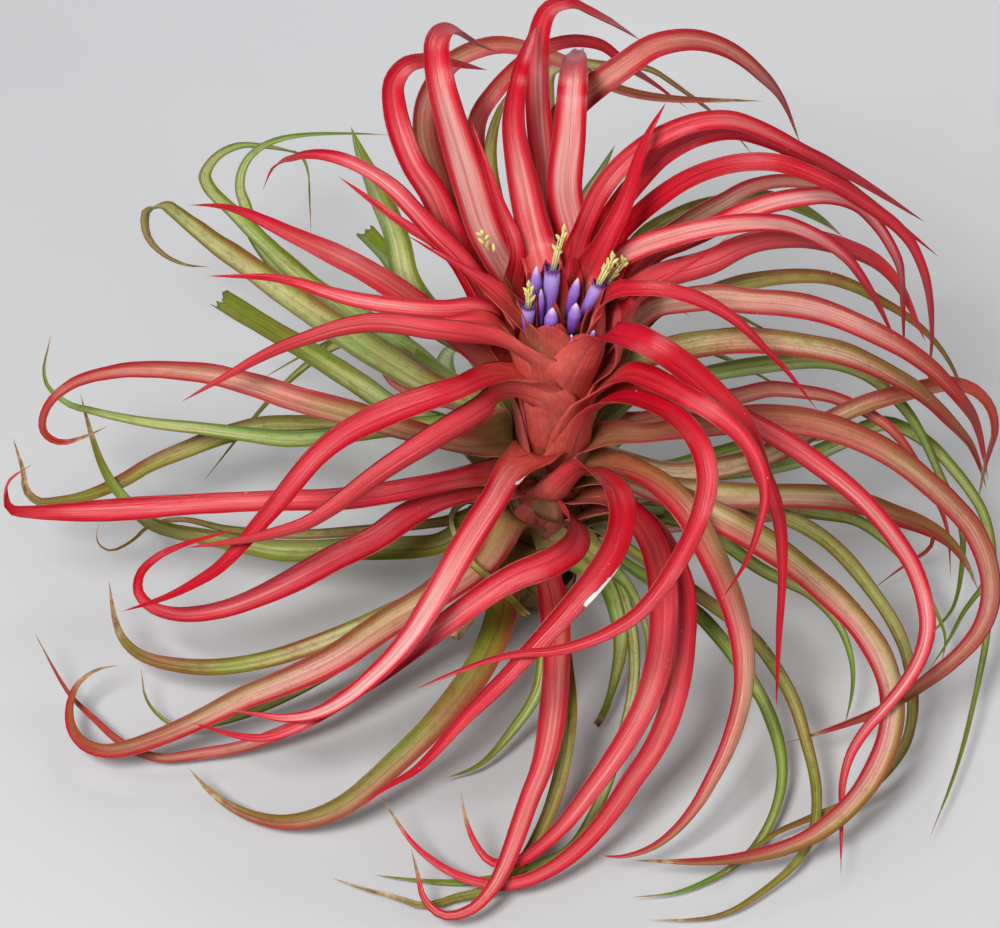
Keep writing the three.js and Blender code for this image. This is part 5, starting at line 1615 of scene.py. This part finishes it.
@dataclass
class Rosette:
    """All leaves of the plant.

    Attributes:
        finishes: the materials.
        plan: lays out the leaves that are one solid with the stem.
        green_fade: how far the paleness of a green leaf reaches, where it has no look of its own.
        usual_fade: the same for the other leaves.
        red_dry: how much of the usual drying a red leaf has.
        bract_sheath: half of the width of a bract's base.
        dry_sheath: half of the width of a dry leaf's base.
    """

    finishes: Finishes
    plan: LeafPlan = field(default_factory=LeafPlan)
    green_fade: float = 0.95
    usual_fade: float = 0.8
    red_dry: float = 0.4
    bract_sheath: float = 2.6
    dry_sheath: float = 3.0

    def dress_of(self, name: str, tone: Tone, cut: float = 0.0) -> Dress:
        """How a leaf has grown: as its tone's other leaves do, with its own looks and a small draw.

        Args:
            name: the leaf's name, which also seeds the draw.
            tone: its range of colour.
            cut: how wide a blunt end is, as a share of its width.

        Returns:
            The leaf's dress.
        """
        usual = TONE_DRESS[tone]
        draw = np.random.default_rng(seed_of(name) + 5)
        fade = self.green_fade if tone is Tone.GREEN else self.usual_fade
        look = LEAF_LOOKS.get(name, Look(usual.flush, usual.pale, usual.dry, fade=fade))
        sheath = usual.sheath * look.sheath * float(draw.uniform(0.85, 1.1))
        if name.startswith("bract"):
            sheath = self.bract_sheath
        elif name.startswith("leaf_dry"):
            sheath = self.dry_sheath
        return Dress(
            look.flush + float(draw.uniform(-0.03, 0.03)),
            usual.rim,
            usual.ripe if look.ripe is None else look.ripe,
            look.pale * float(draw.uniform(0.85, 1.15)),
            look.dry * float(draw.uniform(0.8, 1.4)) * (self.red_dry if tone is Tone.RED else 1.0),
            sheath,
            cut,
            look.lean or float(draw.uniform(-0.06, 0.06)),
            look.fade,
            look.facing,
            look.slim,
        )

    def build_own(self) -> list[Spine]:
        """Dresses the leaves that have a solid each.

        Returns:
            Their lines.
        """
        spines = []
        for part in frame["record"]["subparts"]:
            name = part["node"]
            if not name.startswith("leaf_"):
                continue
            tone = Tone(part["material_slot"])
            spine = PackedBlade(frame["nodes"][name]).spine()
            skin = BladeMesh(spine, self.dress_of(name, tone)).build()
            piece = make_object(f"{name}_blade", skin, self.finishes.leaves[tone])
            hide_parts(name)
            spines.append(spine)
        return spines

    def build_joined(self, own: list[Spine]) -> None:
        """Dresses the leaves that are one solid with the stem, in one piece for each side and tone.

        Args:
            own: the lines of the leaves that have a solid each.
        """
        rows = {row.name: row for row in JOINED_ROWS}
        groups: dict[str, list[Skin]] = {}
        tones: dict[str, Tone] = {}
        for spine in self.plan.spines(own):
            row = rows.get(spine.name)
            tone = row.tone if row else Tone.GREEN
            dress = self.dress_of(spine.name, tone, row.cut if row else 0.0)
            side = spine.name.rsplit("_", 1)[0]
            label = f"{side}_{tone.name.lower()}_blades"
            groups.setdefault(label, []).append(BladeMesh(spine, dress).build())
            tones[label] = tone
        for label, skins in groups.items():
            piece = make_object(label, joined_skin(skins), self.finishes.leaves[tones[label]])
            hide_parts("stem_with_leaves")


# Bracts that nest the flowers: azimuth, distance from the axis, height, width, lean outward
CROWN_BRACTS = (
    (345, 9.3, 9.5, 11.0, 1.5), (30, 9.4, 5.5, 7.0, 2.0), (62, 9.6, 9.5, 8.5, 2.5),
    (312, 9.4, 8.0, 9.0, 2.0), (275, 9.2, 10.0, 8.0, 2.5), (323, 2.0, 11.0, 4.0, 1.0),
    (266, 6.2, 12.0, 4.5, 0.5), (178, 5.2, 15.0, 5.0, 0.5), (141, 7.1, 14.0, 5.0, 1.0),
    (70, 6.6, 10.0, 5.0, 1.5), (357, 6.8, 8.0, 5.0, 1.0), (203, 9.0, 15.0, 6.0, 1.0),
    (104, 9.2, 11.0, 6.0, 2.5), (232, 9.0, 13.0, 6.0, 2.0), (160, 9.6, 15.0, 6.5, 1.5),
)


@dataclass
class Crown:
    """Small pointed bracts that stand round and between the flowers.

    Attributes:
        finishes: the materials.
        samples: how many points each bract's line has.
        lift: how far above the core's top they start.
    """

    finishes: Finishes
    samples: int = 12
    lift: float = 0.4

    def bract(
        self, number: int, azimuth: float, off: float, height: float, width: float, lean: float
    ) -> Spine:
        """One bract's line: it rises off the crown, and its tip leans outward.

        Args:
            number: which bract it is.
            azimuth: where it stands round the crown's middle.
            off: how far it stands from the middle.
            height: how tall it is.
            width: how wide it is at its base.
            lean: how far its tip leans outward.

        Returns:
            The bract's line, width and turn.
        """
        share = np.linspace(0, 1, self.samples)
        axis = np.array([NECK_LEAN[0], NECK_LEAN[1], 1.0]) * NECK_HEIGHT
        reach = off + lean * share**2
        rise = np.array([0, 0, 1.0]) * (self.lift + height * share)[:, None]
        centres = axis + outward(azimuth) * reach[:, None] + rise
        across = np.repeat(outward(azimuth + 90)[None], self.samples, axis=0)
        return Spine(f"bract_{number}", centres, across, width / 2 * (1 - share**2.2) ** 0.7)

    def build(self) -> None:
        """Builds all bracts as one piece."""
        skins = []
        for number, bract in enumerate(CROWN_BRACTS):
            draw = np.random.default_rng(number)
            dress = Dress(float(draw.uniform(0.66, 0.84)), 0.1, 0.1, 0.2, dry=0.0, sheath=0.0)
            skins.append(BladeMesh(self.bract(number + 1, *bract), dress).build())
        piece = make_object("crown_bracts", joined_skin(skins), self.finishes.leaves[Tone.RED])
        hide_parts("stem_with_leaves")


@dataclass
class Neck:
    """The stem's core, which shows only between the leaves' sheaths.

    Attributes:
        finishes: the materials.
        sides: how many facets the core has round it.
        rings: how many rings of corners it has along it.
        below_crown: how far below the crown its top lies.
        inset: how far it lies inside the solid's side.
        swell: how high its slow waves are.
    """

    finishes: Finishes
    sides: int = 48
    rings: int = 60
    below_crown: float = 1.5
    inset: float = 0.5
    swell: float = 0.35

    def build(self) -> None:
        """Builds the core."""
        turns = np.linspace(0, 2 * math.pi, self.sides, endpoint=False)
        corners, grain, root = [], [], []
        for z in np.linspace(0, NECK_HEIGHT - self.below_crown, self.rings):
            for turn in turns:
                wave = self.swell * math.sin(turn * 5 + z * 0.28)
                off = -self.inset + wave * min(z / 30, 1)
                corners.append(beside_neck(math.degrees(turn), float(z), off))
                grain.append((turn * 10, z, 3.0))
                root.append((z / NECK_HEIGHT, 0.0, 0.0))
        facts = {
            "state": np.tile([0.62, 0.1, 0.0], (len(corners), 1)),
            "place": np.tile([0.2, 0.0, 0.0], (len(corners), 1)),
            "grain": np.array(grain),
            "root": np.array(root),
        }
        faces = tube_faces(self.rings, self.sides, turned=True)
        piece = make_object("stem_core", (np.array(corners), faces, facts), self.finishes.sheath)
        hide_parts("stem_with_leaves")


@dataclass(frozen=True)
class Bloom:
    """Where one flower stands.

    Attributes:
        node: the solid's name.
        place: its base on the crown, across and back.
        lean: how far its axis leans, to the right and back.
        height: the length of its tube.
        radius: the tube's radius.
        stamens: how far its stamens rise above the mouth and lean to the right, or None for a bud.
        part_of: the solid that it is shown with, where it has none of its own.
        bunch: how high up its stamens the lowest anther sits, as a share.
        faded: whether its petals have dried and dropped.
    """

    node: str
    place: tuple[float, float]
    lean: tuple[float, float]
    height: float
    radius: float
    stamens: tuple[float, float] | None = None
    part_of: str | None = None
    bunch: float = 0.28
    faded: bool = False


BLOOMS = (
    Bloom("flower_1", (1.8, 5.2), (0.06, 0.14), 16.8, 2.05, (12.0, 2.6)),
    Bloom("flower_2", (-3.7, 0.2), (0.02, 0.14), 8.8, 1.8, (6.2, 0.2)),
    Bloom("flower_3", (10.1, 4), (0.46, 0.3), 12.2, 1.75, (8.4, 0.4)),
    Bloom("flower_4", (12.4, 8), (0.56, 0.3), 9.4, 1.6, (8.0, 1.6)),
    Bloom("old_flower", (-5.0, 6.5), (-0.45, 0.35), 3.0, 0.7, (22.6, -0.6), "stem_with_leaves",
          bunch=0.76, faded=True),
    Bloom("small_bud_1", (7.4, -5.6), (0.05, -0.05), 5.0, 0.8, None, "stem_with_leaves"),
    Bloom("small_bud_2", (12.6, -3.4), (0.2, -0.1), 4.6, 0.75, None, "stem_with_leaves"),
    Bloom("small_bud_3", (-8.2, -4.6), (-0.2, -0.1), 3.6, 0.8, None, "stem_with_leaves"),
    Bloom("small_bud_4", (-0.2, 3.4), (0.0, 0.04), 12.0, 0.9, None, "stem_with_leaves"),
    Bloom("bud_1", (-1.5, 8), (0.01, 0.06), 15.3, 1.65),
    Bloom("bud_2", (6.6, 5.4), (0.2, 0.04), 14, 1.4),
    Bloom("bud_3", (7.6, -0.2), (0.12, 0.02), 10.5, 1.65),
    Bloom("bud_4", (1.7, -1.8), (0.11, 0.08), 9.8, 1.75),
)


@dataclass
class Flower:
    """One flower: three petals rolled into a tube, with stamens above it where it is open.

    Attributes:
        bloom: where it stands, and its size.
        finishes: the materials.
        petal_columns: how many corners a petal has across.
        petal_rings: how many it has along.
        petal_thickness: how thick a petal is.
        anthers: how many stamens are made.
    """

    bloom: Bloom
    finishes: Finishes
    petal_columns: int = 13
    petal_rings: int = 26
    petal_thickness: float = 0.12
    anthers: int = 8

    # Along a petal: where, the tube's girth there, and how far round the petal reaches to each side
    OPEN_GIRTH = ((0, 0.1, 0.35, 0.7, 0.92, 1), (0.5, 0.6, 0.82, 1.0, 0.98, 1.06))
    OPEN_REACH = ((0, 0.85, 0.95, 1), (1.25, 1.2, 0.95, 0.3))
    BUD_GIRTH = ((0, 0.1, 0.35, 0.65, 0.85, 0.95, 1), (0.5, 0.62, 0.9, 1.0, 0.68, 0.3, 0.06))
    BUD_REACH = 1.2
    TURN = 2.4
    HELPER = np.array([0.3, 0.9, 0.2])

    def axes(self) -> tuple[Array, Array, Array, Array]:
        """How the tube stands.

        Returns:
            Its base, and the directions to its side, to its back and along it.
        """
        lean = np.array([*self.bloom.lean, 1.0])
        up = unit(lean)
        side = unit(np.cross(np.array([0.0, 1.0, 0.0]), up))
        back = np.cross(up, side)
        lift = 0.3 + self.bloom.radius * math.hypot(*self.bloom.lean)
        return np.array([*self.bloom.place, NECK_HEIGHT + lift]), side, back, up

    def petal(self, turn: float, order: int) -> Skin:
        """One petal, rolled round the tube's axis.

        Args:
            turn: where the petal's middle lies round the axis.
            order: which petal it is: a later one lies outside an earlier one.

        Returns:
            Its corners, faces and facts.
        """
        base, side, back, up = self.axes()
        shares = np.linspace(0, 1, self.petal_rings)
        spread = np.linspace(-1, 1, self.petal_columns)
        if self.bloom.stamens:
            girth, half = np.interp(shares, *self.OPEN_GIRTH), np.interp(shares, *self.OPEN_REACH)
        else:
            girth, half = np.interp(shares, *self.BUD_GIRTH), np.full_like(shares, self.BUD_REACH)
        is_bud = 0.0 if self.bloom.stamens else 1.0
        corners, place, grain = [], [], []
        for thick in (self.petal_thickness, -self.petal_thickness):
            for share, wide, angle in zip(shares, girth, half):
                for s in spread:
                    theta = turn + s * angle
                    off = self.bloom.radius * wide * (0.9 + 0.05 * order + 0.035 * s) + thick * 0.5
                    tall = share * self.bloom.height
                    out = side * math.cos(theta) + back * math.sin(theta)
                    corners.append(base + out * off + up * tall)
                    place.append((abs(s), is_bud, share))
                    seed = 7.0 + order * 3.1 + self.bloom.height
                    grain.append((s * angle * self.bloom.radius, tall, seed))
        columns = self.petal_columns
        size = columns * self.petal_rings
        faces: Faces = []
        for i in range(self.petal_rings - 1):
            for j in range(columns - 1):
                a, b = i * columns + j, (i + 1) * columns + j
                faces.append((a, a + 1, b + 1, b))
                faces.append((size + a, size + b, size + b + 1, size + a + 1))
            a, b = i * columns, (i + 1) * columns
            faces.append((a, b, size + b, size + a))
            a, b = a + columns - 1, b + columns - 1
            faces.append((a, size + a, size + b, b))
        for j in range(columns - 1):
            faces.append((j, size + j, size + j + 1, j + 1))
            top = (self.petal_rings - 1) * columns + j
            faces.append((top, top + 1, size + top + 1, size + top))
        return np.array(corners), faces, {"place": np.array(place), "grain": np.array(grain)}

    def anther(self, at: Array, up: Array, length: float, girth: float, seed: float) -> Skin:
        """One anther or stigma lobe: a small knobbly capsule.

        Args:
            at: its lower end.
            up: the direction that it points in.
            length: how long it is.
            girth: its greatest radius.
            seed: what makes its knobs differ.

        Returns:
            Its corners, faces and facts.
        """
        side = unit(np.cross(up, self.HELPER))
        back = np.cross(up, side)
        corners, grain = [], []
        rings, around = 7, 8
        for i in range(rings):
            share = i / (rings - 1)
            fat = math.sin(math.pi * (0.08 + 0.84 * share)) * girth
            for j in range(around):
                turn = 2 * math.pi * j / around
                knob = fat * (1 + 0.18 * math.sin(turn * 3 + i * 1.7 + seed))
                out = side * math.cos(turn) + back * math.sin(turn)
                corners.append(at + up * (share * length) + out * knob)
                grain.append((turn * girth, share * length, seed))
        place = np.tile([0.0, 0.0, 0.8], (rings * around, 1))
        faces = tube_faces(rings, around, turned=True)
        return np.array(corners), faces, {"place": place, "grain": np.array(grain)}

    def filament(self, foot: Array, head: Array, girth: float, along: float) -> Skin:
        """A thin straight thread.

        Args:
            foot: its lower end.
            head: its upper end.
            girth: its radius.
            along: how far up a stamen its colour is taken from, as a share.

        Returns:
            Its corners, faces and facts.
        """
        up = unit(head - foot)
        side = unit(np.cross(up, self.HELPER))
        back = np.cross(up, side)
        around = 6
        corners = np.array([
            end + (side * math.cos(math.pi * j / 3) + back * math.sin(math.pi * j / 3)) * girth
            for end in (foot, head)
            for j in range(around)
        ])
        place = np.tile([0.0, float(self.bloom.faded), along], (2 * around, 1))
        return corners, tube_faces(2, around, turned=True), {"place": place, "grain": corners}

    def stamens(self) -> list[Skin]:
        """Filaments with their anthers, bunched above the mouth.

        Returns:
            Their skins.
        """
        base, side, back, up = self.axes()
        draw = np.random.default_rng(seed_of(self.bloom.node))
        mouth = base + up * (self.bloom.height * 0.8)
        rise, lean = self.bloom.stamens
        lowest, girth = self.bloom.bunch, 0.06 if self.bloom.faded else 0.17
        parts = []
        for k in range(self.anthers):
            turn = k * self.TURN
            out = side * math.cos(turn) + back * math.sin(turn)
            share = lowest + (1 - lowest) * (k + 0.6 * float(draw.random())) / 7.4
            tall = self.bloom.height * 0.2 + rise * share
            spread = 0.5 + 0.5 * float(draw.random())
            head = mouth + up * tall + side * (lean * share**1.5) + out * spread
            parts.append(self.filament(mouth + out * 0.5, head, girth, 0.3))
            way = unit(up + out * float(draw.uniform(0.2, 1.5)) + side * float(draw.uniform(-0.4, 0.4)))
            parts.append(self.anther(head - way * 1.1, way, 2.5, 0.5, 3.0 + k))
        return parts

    def build(self) -> None:
        """Builds the petals and the stamens, each in the place of their solid."""
        if not self.bloom.faded:
            petals = [self.petal(k * 2 * math.pi / 3 + 0.7, k) for k in range(3)]
            tube = make_object(f"{self.bloom.node}_petals", joined_skin(petals), self.finishes.petal)
            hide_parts(self.bloom.part_of or self.bloom.node)
        if self.bloom.stamens:
            node = self.bloom.node.replace("flower", "stamens")
            tuft = make_object(f"{node}_tuft", joined_skin(self.stamens()), self.finishes.pollen)
            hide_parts(self.bloom.part_of or node)


@dataclass
class Studio:
    """The floor, the lights and the camera.

    Attributes:
        finishes: the materials.
        lamps: the name, place, size and power of each lamp, in metres and watts.
        aim: the place that the lamps point at, in metres.
        air: the colour of the light from all sides.
        air_strength: how strong that light is.
        floor_half: half of the floor's side, in metres.
        sensor: the width of the camera's sensor, in millimetres.
    """

    finishes: Finishes
    lamps: tuple[tuple[str, tuple[float, float, float], float, float], ...] = (
        ("key_light", (-0.4, -0.6, 0.95), 0.4, 13.5),
        ("fill_light", (0.8, -0.5, 0.6), 0.8, 3.2),
        ("back_light", (0.2, 0.85, 0.7), 0.6, 6.0),
    )
    aim: tuple[float, float, float] = (0.0, 0.0, 0.06)
    air: Colour = (0.9, 0.93, 1.0)
    air_strength: float = 0.15
    floor_half: float = 4.0
    sensor: float = 36.0

    def build(self) -> None:
        """Builds the studio round the plant."""
        self.floor()
        for lamp in self.lamps:
            self.light(*lamp)
        world = bpy.data.worlds.new("studio_air")
        world.use_nodes = True
        background = world.node_tree.nodes["Background"]
        background.inputs["Color"].default_value = (*self.air, 1.0)
        background.inputs["Strength"].default_value = self.air_strength
        bpy.context.scene.world = world
        self.camera()

    def floor(self) -> None:
        """Lays a large plain floor."""
        mesh = bpy.data.meshes.new("floor")
        half = self.floor_half
        corners = [(-half, -half, 0), (half, -half, 0), (half, half, 0), (-half, half, 0)]
        mesh.from_pydata(corners, [], [(0, 1, 2, 3)])
        floor = bpy.data.objects.new("floor", mesh)
        bpy.context.scene.collection.objects.link(floor)
        mesh.materials.append(self.finishes.floor)

    def light(self, name: str, place: tuple[float, float, float], size: float, power: float) -> None:
        """Hangs one soft lamp that points at the plant.

        Args:
            name: the lamp's name.
            place: where it hangs, in metres.
            size: its side, in metres.
            power: its power, in watts.
        """
        lamp = bpy.data.lights.new(name, "AREA")
        lamp.size = size
        lamp.energy = power
        held = bpy.data.objects.new(name, lamp)
        bpy.context.scene.collection.objects.link(held)
        held.location = place
        way = Vector(self.aim) - Vector(place)
        held.rotation_euler = way.to_track_quat("-Z", "Y").to_euler()

    def camera(self) -> None:
        """Sets the camera where the picture was taken from, and a display that keeps strong reds."""
        lens = bpy.data.cameras.new("camera")
        lens.sensor_width = self.sensor
        lens.lens = VIEW_DISTANCE / MM_PER_PIXEL / PICTURE_WIDTH * self.sensor
        camera = bpy.data.objects.new("camera", lens)
        camera.location = Vector((VIEW_POINT * METRES).tolist())
        camera.rotation_euler = (math.radians(45), 0.0, 0.0)
        bpy.context.scene.collection.objects.link(camera)
        bpy.context.scene.camera = camera
        bpy.context.scene.view_settings.view_transform = "Standard"


def main() -> None:
    """Builds the plant piece by piece, and its studio."""
    logging.basicConfig(level=logging.INFO, format="%(message)s")
    finishes = Finishes()
    rosette = Rosette(finishes)
    own = rosette.build_own()
    rosette.build_joined(own)
    Neck(finishes).build()
    Crown(finishes).build()
    for bloom in BLOOMS:
        Flower(bloom, finishes).build()
    Studio(finishes).build()


if __name__ == "__main__":
    main()
